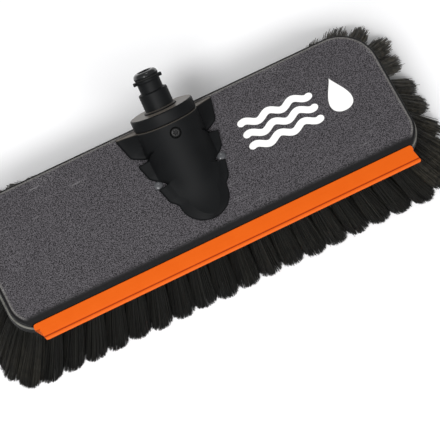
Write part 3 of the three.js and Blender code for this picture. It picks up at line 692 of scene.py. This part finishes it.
def make_housing():
    """Rings run across the housing, over the top and back underneath, from front to mouth."""
    across = np.sin(np.linspace(-1, 1, COLUMNS) * math.pi / 2)
    front, bend = NOSE_Y - NOSE_RADIUS + 0.004 * MM, 22 * MM
    chamfer, seat = 0.55 * MM, COVER_HEIGHT + 0.05 * MM
    y = crowded(front, bend, FRONT_ROWS, [front, *WING_BACKS[1:]])[:, None] + 0 * across
    last = rear_limit(across, chamfer)
    y = np.concatenate([y, bend + (last - bend) * np.linspace(0, 1, REAR_ROWS)[1:, None]])
    x = skirt_half_width(y) * across
    grid = np.stack([x, y, np.maximum(COVER_HEIGHT + housing_height(x, y), seat)], -1)
    middle = np.array([0, MOUTH_LOCAL[1], MOUTH_LOCAL[2]])
    towards = middle - chamfer * AXIS - grid[-1]
    towards /= np.linalg.norm(towards, axis=-1, keepdims=True)
    lip = grid[-1] + chamfer * AXIS + towards * chamfer
    lip[:, 2] = np.maximum(lip[:, 2], seat)
    grid = np.concatenate([grid, [lip, lip + towards * 0.25 * MM]])
    under = grid[:, ::-1].copy()
    under[..., 2] = seat
    plane = MOUTH_LOCAL[1] + (MOUTH_LOCAL[2] - seat) * AXIS_SLOPE
    under[-2:, :, 1] = plane
    rings = np.concatenate([grid, under[:, 1:-1]], axis=1)
    painted_reflection = np.zeros(rings.shape[:2])
    # A painted reflection: the chamfer round the mouth is coloured pale, in a thin line.
    painted_reflection[-1], painted_reflection[-2] = 1, 0.7
    marks = {"painted_reflection": painted_reflection}
    made = solid("housing", rings + HEAD, HOUSING_BLACK, "head", marks, 50)
    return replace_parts(made, "inlet_housing")


housing = make_housing()

# %% [markdown]
# ## Turned pieces
#
# The spigot, its rings and the screws are turned shapes: a profile of radius and height, spun
# about an axis. Sharp corners in the profile get small roundings, which is what makes moulded
# plastic look moulded: each edge draws a thin line of light.


# %% Spinning a profile
def spokes_round(axis, around):
    """Angles a round an axis, and the unit vectors (cos a, sin a) across it."""
    across = np.array([1.0, 0, 0])
    up = np.cross(axis, across)
    angle = np.linspace(0, 2 * math.pi, around, endpoint=False)
    return angle, np.cos(angle)[:, None] * across + np.sin(angle)[:, None] * up


def spin(profile, centre, axis, around=96):
    """Rings of points centre + height * axis + radius * spoke."""
    axis = np.array(axis, float)
    _, spokes = spokes_round(axis, around)
    radius, height = np.array(profile).T
    return centre + height[:, None, None] * axis + radius[:, None, None] * spokes


NEARLY_HALF = 0.45


def soften(corners, radius, steps=4):
    """Replaces each corner of an open profile by a short arc-like curve."""
    corners = np.array(corners, float)
    points = [corners[0]]
    for before, corner, after in zip(corners, corners[1:], corners[2:]):
        to_before, to_after = before - corner, after - corner
        length_before, length_after = np.linalg.norm(to_before), np.linalg.norm(to_after)
        reach = min(radius, length_before * NEARLY_HALF, length_after * NEARLY_HALF)
        start = corner + to_before / length_before * reach
        end = corner + to_after / length_after * reach
        share = np.linspace(0, 1, steps)[:, None]
        points.extend((1 - share) ** 2 * start + 2 * share * (1 - share) * corner + share**2 * end)
    points.append(corners[-1])
    return np.array(points)


# %% Spigot
FLANGE_TOP = 8.1 * MM
STEM_END = -14
LUG_BASE = FLANGE_TOP + 18.8 * MM
TIP = FLANGE_TOP + 25.6 * MM


def make_spigot():
    """The profile runs from inside the stem, out over flange, shank, neck and tip, and down
    the waterway, in millimetres."""
    top = FLANGE_TOP / MM
    corners = [(4.5, -4), (4.5, STEM_END), (7, STEM_END), (7, 0.3), (20.1, 0.3), (20.7, 0.9)]
    corners += [(20.7, top - 0.6), (20.1, top), (19.9, top), (10.9, top), (10.6, top)]
    corners += [(10.6, top + 0.9), (9.4, top + 1.1), (9.4, top + 12.0), (9.0, top + 12.4)]
    corners += [(7.4, top + 12.4), (7.4, top + 18.9), (7.9, top + 19.4), (7.9, top + 21.0)]
    corners += [(6.9, top + 21.0), (6.9, top + 22.0), (7.9, top + 22.0), (7.9, top + 23.0)]
    corners += [(7.5, top + 24.3), (6.6, top + 25.2), (5.4, top + 25.6), (4.5, top + 25.5)]
    corners += [(4.3, top + 25.1), (4.3, top + 14), (0.4, top + 13)]
    profile = soften(np.array(corners) * MM, 0.35 * MM)
    rings = spin(profile, MOUTH, AXIS)
    radius, height = profile.T
    # A painted reflection: the flange's top, and faintly a ring at the shank's foot, are pale.
    on_top = (np.abs(height - FLANGE_TOP) < 0.01 * MM) & (radius > 10.8 * MM)
    foot = (height > FLANGE_TOP + 0.8 * MM) & (height < FLANGE_TOP + 1.3 * MM)
    painted_reflection = on_top * (radius < 20.05 * MM) + foot * 0.35
    polish = (height > FLANGE_TOP + 22.9 * MM) & (radius > 4.4 * MM)
    marks = {"painted_reflection": painted_reflection[:, None], "polish": polish[:, None]}
    made = solid("spigot", rings, SPIGOT_BLACK, "inlet", marks)
    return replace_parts(made, "inlet_spigot")


def make_lug(name, side):
    """A block that follows the neck: a rounded rectangle of radius and height, carried through
    an angle and drawn in at both ends."""
    inner, outer, low, high = 6.9 * MM, 9.6 * MM, LUG_BASE, LUG_BASE + 2.2 * MM
    middle = np.array([(inner + outer) / 2, (low + high) / 2])
    half_angle = 0.3
    section = soften([(inner, low), (outer, low), (outer, high), (inner, high)], 0.5 * MM)
    rings = []
    for turn in np.linspace(-math.pi / 2, math.pi / 2, 15):
        angle = side * math.pi / 2 + math.pi / 2 + half_angle * math.sin(turn)
        shrink = 0.35 * MM * (1 - math.cos(turn))
        radius, height = (section - np.sign(section - middle) * shrink).T
        spoke = math.cos(angle) * np.array([1.0, 0, 0])
        spoke = spoke + math.sin(angle) * np.cross(AXIS, [1.0, 0, 0])
        rings.append(MOUTH + height[:, None] * AXIS + radius[:, None] * spoke)
    return solid(name, np.array(rings), SPIGOT_BLACK, "inlet")


make_spigot()
make_lug("left_lug", 1)
make_lug("right_lug", -1)

# %% [markdown]
# ## O-rings and seals
#
# An O-ring is a small circle carried round a large one. The tip's ring sits in the spigot's
# groove, where it shows as a matt line in the gloss of the plastic.


# %% Rings
DARK_GREYS = (16, 16, 16), (34, 34, 33)
SEAL_RUBBER, rubber_dust = clouded("seal_rubber", 0.3, (500, 3), DARK_GREYS, (0.62, 0.15))
SEAL_RUBBER.bump(rubber_dust, 0.05 * MM)


def make_ring(name, node, radius, height, section):
    """Circle of radius `section` carried round the spigot's axis at the given height."""
    angle = np.linspace(0, 2 * math.pi, 25)
    profile = np.stack([radius + section * np.cos(angle), height + section * np.sin(angle)], -1)
    rings = spin(profile, MOUTH, AXIS, 72)
    made = solid(name, rings, SEAL_RUBBER, "inlet")
    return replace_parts(made, node)


ring_box = np.array(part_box("stem_o_ring")).mean(0)
RING_HEIGHT = (ring_box - MOUTH) @ AXIS
make_ring("tip_ring", "tip_o_ring", 7.25 * MM, TIP - 4.1 * MM, 0.5 * MM)
make_ring("stem_ring", "stem_o_ring", 6 * MM, RING_HEIGHT, 1.0 * MM)

# %% [markdown]
# ## Screws
#
# The retaining screw sits in a round recess on the housing's centreline. Its head is a low dome
# with a six-lobed socket, which is one formula: the socket's radius swings six times round.


# %% Finish and retaining screw
def steel(name, dark, light):
    """Plated steel between two greys; the mark "socket" is painted shade, nearly black."""
    finish = Finish(name, Metallic=0.6, Specular_IOR_Level=0.3)
    cloud = finish.noise(900, 3)
    plated = finish.mix(cloud, linear(*[dark] * 3), linear(*[light] * 3))
    finish.colour(finish.mix(finish.attribute("socket"), plated, linear(8, 8, 9)))
    finish.roughness(0.34 + cloud * 0.2)
    finish.bump(cloud, 0.03 * MM)
    return finish


STEEL = steel("screw_steel", 120, 150)
BLACK_STEEL = steel("black_steel", 28, 46)
screw_low, screw_high = np.array(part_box("retaining_screw"))
RETAINER_HEIGHT = ((screw_low + screw_high) / 2 - MOUTH) @ AXIS
SCREW_AXIS = np.cross([1.0, 0, 0], AXIS)
SCREW_AXIS = SCREW_AXIS * np.sign(SCREW_AXIS[2])
HEAD_SEAT = MOUTH_RADIUS - 2.5 * MM
SCREW_PLACE = MOUTH + RETAINER_HEIGHT * AXIS
SHANK_FOOT, SHANK_RADIUS, HEAD_RADIUS, POCKET_RADIUS = 6, 1.75, 3.1, 3.7


def lobed(angle, radius, swing):
    """A radius that swings six times round: r (1 + s cos 6a)."""
    return radius * (1 + swing * np.cos(6 * angle))


def make_retaining_screw():
    """Polar grid: outside of the shank, head, dome, then down the six-lobed socket. Its sizes
    are in millimetres."""
    around = 96
    angle, spokes = spokes_round(SCREW_AXIS, around)
    seat = HEAD_SEAT / MM
    outside = [(SHANK_RADIUS, SHANK_FOOT), (SHANK_RADIUS, seat), (HEAD_RADIUS, seat)]
    outside += [(HEAD_RADIUS, seat + 1.3), (2.9, seat + 1.75)]
    outside += [(2.5, seat + 2.05), (2.1, seat + 2.2)]
    radius, height = np.array(outside).T * MM
    socket = [lobed(angle, size * MM, 0.17) for size in (1.62, 1.56, 1.54)]
    radius = np.repeat(radius[:, None], around, axis=1)
    radius = np.concatenate([radius, socket, [np.full(around, 0.1 * MM)]])
    down = (seat + np.array([2.16, 2.05, 0.9, 0.8])) * MM
    height = np.concatenate([height, down])
    rings = SCREW_PLACE + height[:, None, None] * SCREW_AXIS + radius[..., None] * spokes
    # Painted shade: the socket's walls and floor are coloured nearly black.
    hollow = np.zeros(rings.shape[:2])
    hollow[-3:] = 1
    marks = {"socket": hollow}
    made = solid("retaining_screw_head", rings, BLACK_STEEL, "head", marks)
    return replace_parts(made, "retaining_screw")


def recess_housing():
    """A round pocket for the screw's head, open at the top."""
    base, top = HEAD_SEAT / MM - 0.3, 22.0
    profile = [(0.3, base), (POCKET_RADIUS, base), (POCKET_RADIUS, top), (0.3, top + 0.2)]
    rings = spin(np.array(profile) * MM, SCREW_PLACE, SCREW_AXIS, 64)
    cut(housing, solid("pocket", rings, HOUSING_BLACK, "head"))


make_retaining_screw()
recess_housing()

# %% [markdown]
# ## Moulded pips
#
# In the second pair of notches a small smooth pip stands on the cover, half under the housing.
# It is glossier than the grain around it and catches the light.


# %% Pips
GREYS = (66, 67, 69), (84, 85, 88)
PIP_PLASTIC, _ = clouded("pip_plastic", 0.5, (300, 2), GREYS, (0.25, 0.1))
PIP_RADIUS, PIP_HEIGHT = 2.9 * MM, 1.1 * MM
PIP_X, PIP_Y = 21.6 * MM, 3.4 * MM


def make_pip(name, side):
    """A low dome: height = h (1 - r^2)^0.7 over a disc."""
    share = np.array([0.02, 0.2, 0.4, 0.6, 0.75, 0.87, 0.95, 1.0, 1.0])
    height = PIP_HEIGHT * (1 - share**2) ** 0.7
    height[-1] = -0.4 * MM
    profile = np.stack([share * PIP_RADIUS, height], -1)[::-1]
    centre = HEAD + np.array([side * PIP_X, PIP_Y, COVER_HEIGHT])
    rings = spin(profile, centre, [0, 0, 1], 48)
    return solid(name, rings, PIP_PLASTIC, "head")


make_pip("left_pip", -1)
make_pip("right_pip", 1)

# %% [markdown]
# ## White print
#
# The cover carries a printed sign for water: a drop beside three waves. Each is a thin plate
# whose outline is a formula, standing a tenth of a millimetre proud of the cover.


# %% Print
WHITES = (238, 238, 236), (250, 250, 248)
PRINT_WHITE, _ = clouded("print_white", 0.3, (800, 3), WHITES, (0.55, 0.15))


def make_plate(name, outline):
    """A flat plate on the cover whose edge is slightly drawn in at the top."""
    middle = (outline.max(0) + outline.min(0)) / 2
    slim = middle + (outline - middle) * 0.998
    base, top = COVER_HEIGHT - 0.05 * MM, COVER_HEIGHT + 0.1 * MM
    rings = [place_on_head(outline, base), place_on_head(outline, top - 0.02 * MM)]
    rings.append(place_on_head(slim, top))
    return solid(name, np.array(rings), PRINT_WHITE, "head")


def drop_outline(centre, height):
    """A drop: x = sin(t) sin(t / 2)^1.6, y = cos(t), for t from 0 to a full turn."""
    t = np.linspace(0, 2 * math.pi, 120, endpoint=False)
    x = np.sin(t) * np.abs(np.sin(t / 2)) ** 1.6
    return centre + np.stack([x * height * 0.46, np.cos(t) * height / 2], -1)


def wave_outline(start, length, thick, swing, waves):
    """A bar of even thickness whose middle line is a sine wave, with round ends."""
    s = np.linspace(0, 1, 160)
    y = swing * np.sin(2 * math.pi * waves * s)
    slope = swing * 2 * math.pi * waves * np.cos(2 * math.pi * waves * s) / length
    normal = np.stack([-slope, np.ones_like(s)], -1)
    normal /= np.linalg.norm(normal, axis=-1, keepdims=True)
    line = start + np.stack([s * length, y], -1)
    reach = np.minimum(s, 1 - s) * length
    half = thick / 2 * np.sqrt(np.clip(1 - np.clip(1 - reach / (thick / 2), 0, 1) ** 2, 0.002, 1))
    return np.concatenate([line + normal * half[:, None], (line - normal * half[:, None])[::-1]])


DROP_PLACE, DROP_HEIGHT = np.array([104.5, 7.5]) * MM, 24 * MM
WAVE_START, WAVE_ROWS = 40, (15.8, 7.4, -1.0)
WAVE_LENGTH, WAVE_THICKNESS, WAVE_SWING, WAVES = 50 * MM, 4.6 * MM, 1.7 * MM, 3
make_plate("print_drop", drop_outline(DROP_PLACE, DROP_HEIGHT))
for number, row in enumerate(WAVE_ROWS, 1):
    start = np.array([WAVE_START, row]) * MM
    bar = wave_outline(start, WAVE_LENGTH, WAVE_THICKNESS, WAVE_SWING, WAVES)
    make_plate(f"print_wave_{number}", bar)

# %% [markdown]
# ## Bristles
#
# Each tuft is a few hundred filaments bent double into one socket, so they start close together
# and fan out. A filament here is a slim three-sided prism along a gentle curve: that is enough
# at this thickness, and it keeps tens of thousands of them affordable. All filaments of a row
# are worked out together as arrays. The outer tufts lean outwards, like the CAD's, and each
# tuft's tips end in a round cap, which scallops the skirt of bristles.


# %% Finish: filament
def filament():
    finish = Finish("filament", Specular_IOR_Level=0.15)
    shade = finish.attribute("shade")
    black = finish.mix(shade, linear(10, 10, 9), linear(33, 33, 30))
    # Some tufts turn a lighter grey-brown towards their tips.
    grey_brown = finish.mix(shade, linear(28, 26, 22), linear(124, 117, 102))
    lightened = finish.attribute("lightened") * finish.mask(finish.noise(260, 2), 0.25, 0.6)
    finish.colour(finish.mix(lightened, black, grey_brown))
    finish.roughness(0.42 + shade * 0.2)
    return finish


FILAMENT = filament()

# %% Where the tufts stand
PITCH = 13.6 * MM
ROWS = 7
ROOT_INSET = 7 * MM
ROW_PITCH = 2 * (HALF_WIDTH - ROOT_INSET) / (ROWS - 1)
LONG_ROW = 18
SOCKET_RADIUS, TUFT_REACH = 3.1 * MM, np.array([8.6, 8.7]) * MM
TIP_REACH = np.array([CAD_BOX[1][0] - 7.8 * MM, HALF_WIDTH + 10.4 * MM])
SPREAD = TIP_REACH / (np.array([HALF_LENGTH, HALF_WIDTH]) - ROOT_INSET)


def row_roots(row):
    count = LONG_ROW - row % 2
    x = (np.arange(count) - (count - 1) / 2) * PITCH
    return np.stack([x, np.full(count, (row - (ROWS - 1) / 2) * ROW_PITCH)], -1)


def end_roots(side):
    """Roots round one end: two on the back corner, five down the side, two in front."""
    x = HALF_LENGTH - ROOT_INSET
    back, front = HALF_WIDTH - BACK_CORNER, -HALF_WIDTH + FRONT_CORNER
    roots = [(x, y) for y in np.linspace(back - 3 * MM, front + 1.5 * MM, 5)]
    corners = [(BACK_CORNER, back, 50), (BACK_CORNER, back, 20)]
    corners += [(FRONT_CORNER, front, -25), (FRONT_CORNER, front, -65)]
    for radius, y, degrees in corners:
        angle, reach = math.radians(degrees), radius - ROOT_INSET
        roots.append((x - reach + reach * math.cos(angle), y + reach * math.sin(angle)))
    return np.array(roots) * [side, 1]


# %% Growing the filaments
SEGMENTS = 4
THICKNESS = 0.4 * MM
MANY_STRANDS, FEW_STRANDS, FRAYED = 16, 7, 0.3
ABOUT_A_TURN = 6.28
CLEAR_OF_FLOOR, ABOVE_BOARD = 0.15 * MM, 0.6 * MM


def grow(name, roots, per_tuft, node, seed, lightened=0.0, fray=0.0, full=1.0, splay=0.0, reach=0.0):
    """All filaments of some tufts as one mesh.

    For t from 0 to 1, z falls evenly and (x, y) = c + a t^p + r + (q - r) sqrt(t), where c is
    the tuft's place, a how far it leans, r the root in the socket's disc and q the tip in a
    wider, squarer disc. Tips are drawn towards a few strands; frayed tufts have fewer strands
    and some tips that stray. splay is how far each tuft is bent up and out, from 0 to 1,
    and reach how much further out its tips stand.
    """
    random = np.random.default_rng(seed)
    tufts, total = len(roots), len(roots) * per_tuft
    owner = np.repeat(np.arange(tufts), per_tuft)
    radius = random.random(total) ** 0.32
    angle = random.random(total) * 2 * math.pi
    spoke = np.stack([np.cos(angle), np.sin(angle)], -1)
    disc = radius[:, None] * spoke
    start = disc * SOCKET_RADIUS
    squarer = disc * (np.abs(spoke) ** 2.4).sum(-1, keepdims=True) ** (-1 / 2.4)
    strand_count = FEW_STRANDS if fray > FRAYED else MANY_STRANDS
    strands = random.normal(0, 0.55, (tufts, strand_count, 2))
    chosen = strands[owner, random.integers(0, strand_count, total)]
    pull = 0.02 + 0.7 * fray
    spread = squarer * (1 - pull) + chosen * pull
    lean = random.normal(0, 0.25 + 1.2 * fray, (tufts, 2)) * MM
    stray = random.random(total) < 0.06 * fray
    wander = random.normal(0, 1, (total, 2)) * (0.05 + 0.2 * fray + 1.4 * stray)[:, None] * MM
    end = spread * TUFT_REACH * full + wander
    outward = roots[owner] * (SPREAD - 1)
    leaning = outward + lean[owner]
    bent = np.broadcast_to(splay, tufts)[owner]
    outward = outward / np.linalg.norm(outward, axis=-1, keepdims=True)
    further = (0.5 + random.random(total)) * bent * 3.2 * MM
    further = further + np.broadcast_to(reach, tufts)[owner]
    leaning = leaning + outward * further[:, None]
    ground = -HEAD[2] + CLEAR_OF_FLOOR
    length = random.random((tufts, strand_count))[owner, random.integers(0, strand_count, total)]
    lift = (radius**2 * 0.8 + random.random(total) * 0.4 + (1 + length) * 1.6 * fray) * MM
    lift = lift + bent * (9 + 5 * random.random(total)) * MM
    power = 1.05 + random.random(total) * 0.2
    low = -BOARD_THICKNESS + ABOVE_BOARD
    t = np.linspace(0, 1, SEGMENTS + 1)[:, None]
    plan = roots[owner] + leaning * (t**power)[..., None]
    plan = plan + start + (end - start) * np.sqrt(t)[..., None]
    phase = t * math.pi * (1 + random.random(total)) + random.random(total) * ABOUT_A_TURN
    plan = plan + (np.sin(phase) * t * (0.1 + 0.35 * fray) * MM)[..., None]
    height = low + (ground + lift - low) * t
    line = np.concatenate([plan, height[..., None]], -1) + HEAD
    points = wrap(line, random.random(total) * ABOUT_A_TURN)
    lightening, pale = np.broadcast_to(lightened, tufts)[owner], smoothstep(0.1, 0.75, t)
    shade = random.random(total)[None, :, None]
    marks = {"shade": shade, "lightened": lightening[None, :, None] * pale[..., None]}
    made = filament_mesh(name, points, marks)
    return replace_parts(made, node)


def wrap(line, turn):
    """Three points round each point of each line, across its direction, slimmer at the tip."""
    along = line[-1] - line[0]
    along /= np.linalg.norm(along, axis=-1, keepdims=True)
    side = np.cross(along, [0.3, 1.0, 0.1])
    side /= np.linalg.norm(side, axis=-1, keepdims=True)
    other = np.cross(along, side)
    angle = turn[:, None] + np.arange(3) * 2 * math.pi / 3
    ring = np.cos(angle)[..., None] * side[:, None] + np.sin(angle)[..., None] * other[:, None]
    slim = np.array([1.0] * SEGMENTS + [0.75])[:, None, None, None]
    return line[:, :, None] + ring * slim * THICKNESS / 2


def filament_mesh(name, points, marks):
    """points[k, n, c] is corner c of ring k of filament n. Rings are joined by quads and both
    ends are closed by a triangle."""
    rings, total, corners = points.shape[:3]
    index = np.arange(rings * total * corners).reshape(rings, total, corners)
    after = np.roll(index, -1, axis=2)
    quads = np.stack([index[:-1], index[1:], after[1:], after[:-1]], -1).reshape(-1, 4)
    ends = np.concatenate([index[0], index[-1][:, ::-1]])
    loops = np.concatenate([quads.ravel(), ends.ravel()])
    sizes = np.concatenate([np.full(len(quads), 4), np.full(len(ends), 3)])
    mesh = bpy.data.meshes.new(name)
    mesh.vertices.add(rings * total * corners)
    mesh.vertices.foreach_set("co", points.astype(np.float32).ravel())
    mesh.loops.add(len(loops))
    mesh.loops.foreach_set("vertex_index", loops.astype(np.int32))
    mesh.polygons.add(len(sizes))
    starts = np.concatenate([[0], np.cumsum(sizes)[:-1]])
    mesh.polygons.foreach_set("loop_start", starts.astype(np.int32))
    mesh.update(calc_edges=True)
    add_marks(mesh, marks, points.shape[:3])
    mesh.validate()
    return piece(name, mesh, FILAMENT, "head", crease=180)


# %% Every row
FRONT, BACK, INNER, END = 830, 420, 210, 800
front, back = row_roots(0), row_roots(ROWS - 1)
half = LONG_ROW // 2
far_out = smoothstep(70 * MM, 125 * MM, np.abs(back[:, 0]))
grow("front_bristles_left", front[:half], FRONT, "front_tuft_row", 11)
grow("front_bristles_right", front[half:], FRONT, "front_tuft_row", 12, 0.05, 0.04)
bent = far_out[:half] * 0.8
grow("back_bristles_left", back[:half], BACK, "back_tuft_row", 13, 0.6, 0.4, 1, bent)
bent = far_out[half:] * 0.4
grow("back_bristles_right", back[half:], BACK, "back_tuft_row", 14, 0.8, 0.55, 1, bent)
for row in range(1, ROWS - 1):
    name = f"inner_bristles_{row}"
    grow(name, row_roots(row), INNER, f"inner_tuft_row_{row}", 20 + row, 0.2 * (row > 3))
left_end, right_end = end_roots(-1), end_roots(1)
grow("left_end_bristles", left_end, END, "left_end_tufts", 31, 0.1, 0.1)
rearward = smoothstep(-20 * MM, 40 * MM, right_end[:, 1])
bent, lightened = 0.15 + 0.4 * rearward, 0.35 + 0.55 * rearward
middle = smoothstep(-44 * MM, -20 * MM, right_end[:, 1]) * (1 - 0.8 * rearward)
pushed = (1.0 + 4.0 * middle) * MM
grow("right_end_bristles", right_end, END, "right_end_tufts", 32, lightened, 0.42, 0.86, bent, pushed)

# %% [markdown]
# ## Fasteners and seals that the frame already has right
#
# The screws under the board and inside the cover and the seal between the two are plain shapes
# that hardly show. The frame's own meshes stay, with finishes of their own.

# %% Finishes for the frame's pieces
for name, node in frame["nodes"].items():
    finish = STEEL if "screw" in name else SEAL_RUBBER
    if not node.hide_render:
        node.data.materials.clear()
        node.data.materials.append(finish.material)
        print("kept", name)

# %% [markdown]
# ## Floor, light and camera
#
# A pale floor, a small lamp in front at the left, a wide one in front that gives the soft band
# of shadow behind the head, and a weak one behind that glints on the spigot. The camera looks
# down at about 68 degrees from nearly two metres, rolled a little.


# %% Stage
FLOOR_REACH, FLOOR_LINES = 3, 41
SURROUND = 0.28


def make_floor():
    """A flat square sheet, 6 m wide, divided into 40 by 40 squares."""
    line = np.linspace(-FLOOR_REACH, FLOOR_REACH, FLOOR_LINES)
    x, y = np.meshgrid(line, line)
    points = np.stack([x, y, 0 * x], -1).reshape(-1, 3)
    index = np.arange(FLOOR_LINES**2).reshape(FLOOR_LINES, FLOOR_LINES)
    quads = np.stack([index[:-1, :-1], index[:-1, 1:], index[1:, 1:], index[1:, :-1]], -1)
    mesh = bpy.data.meshes.new("floor")
    mesh.from_pydata(points, [], quads.reshape(-1, 4).tolist())
    finish = Finish("floor_paint", Roughness=0.9, Specular_IOR_Level=0.1, Emission_Strength=0.05)
    finish.shader.inputs["Emission Color"].default_value = (1, 1, 1, 1)
    finish.colour(finish.mix(finish.noise(2, 2), linear(243, 243, 244), linear(247, 247, 248)))
    mesh.materials.append(finish.material)
    floor = bpy.data.objects.new("floor", mesh)
    bpy.context.scene.collection.objects.link(floor)


def add_light(name, place, width, depth, power):
    """An elliptical lamp aimed at the origin. A wide one blurs what a narrow thing shades."""
    data = bpy.data.lights.new(name, "AREA")
    data.shape, data.size, data.size_y, data.energy = "ELLIPSE", width, depth, power
    lamp = bpy.data.objects.new(name, data)
    lamp.location = place
    lamp.rotation_euler = (-Vector(place)).to_track_quat("-Z", "Y").to_euler()
    lamp.visible_camera = False
    bpy.context.scene.collection.objects.link(lamp)


make_floor()
add_light("key", (-0.68, -0.45, 1.5), width=0.5, depth=0.5, power=10)
add_light("front", (-0.2, -1.05, 1.5), width=2.2, depth=0.5, power=26.5)
add_light("rear_glint", (0.25, 1.05, 1.35), width=0.45, depth=0.45, power=3)
world = bpy.data.worlds.new("surround")
world.use_nodes = True
background = world.node_tree.nodes["Background"]
background.inputs["Color"].default_value = (1, 1, 1, 1)
background.inputs["Strength"].default_value = SURROUND
bpy.context.scene.world = world
bpy.context.scene.view_settings.view_transform = "Standard"

# %% Camera
DISTANCE, LENS, SENSOR_WIDTH = 1.984, 261.2, 36
AZIMUTH, ELEVATION = math.radians(-19.23), math.radians(68.26)
UPWARDS = Vector((0.4254, 0.8271, 0.3673))
AIM = Vector(HEAD + np.array([3.0, -31.9, 0]) * MM)


def make_camera():
    """Looks from DISTANCE away towards AIM, turned so that UPWARDS is up in the picture."""
    away = np.array([math.sin(AZIMUTH), -math.cos(AZIMUTH)]) * math.cos(ELEVATION)
    place = Vector(HEAD + DISTANCE * np.array([*away, math.sin(ELEVATION)]))
    data = bpy.data.cameras.new("camera")
    data.lens, data.sensor_width = LENS, SENSOR_WIDTH
    data.clip_start, data.clip_end = 0.05, 20
    camera = bpy.data.objects.new("camera", data)
    backwards = (place - AIM).normalized()
    right = UPWARDS.cross(backwards).normalized()
    turned = Matrix((right, backwards.cross(right), backwards)).transposed()
    camera.location, camera.rotation_euler = place, turned.to_euler()
    bpy.context.scene.collection.objects.link(camera)
    bpy.context.scene.camera = camera


make_camera()
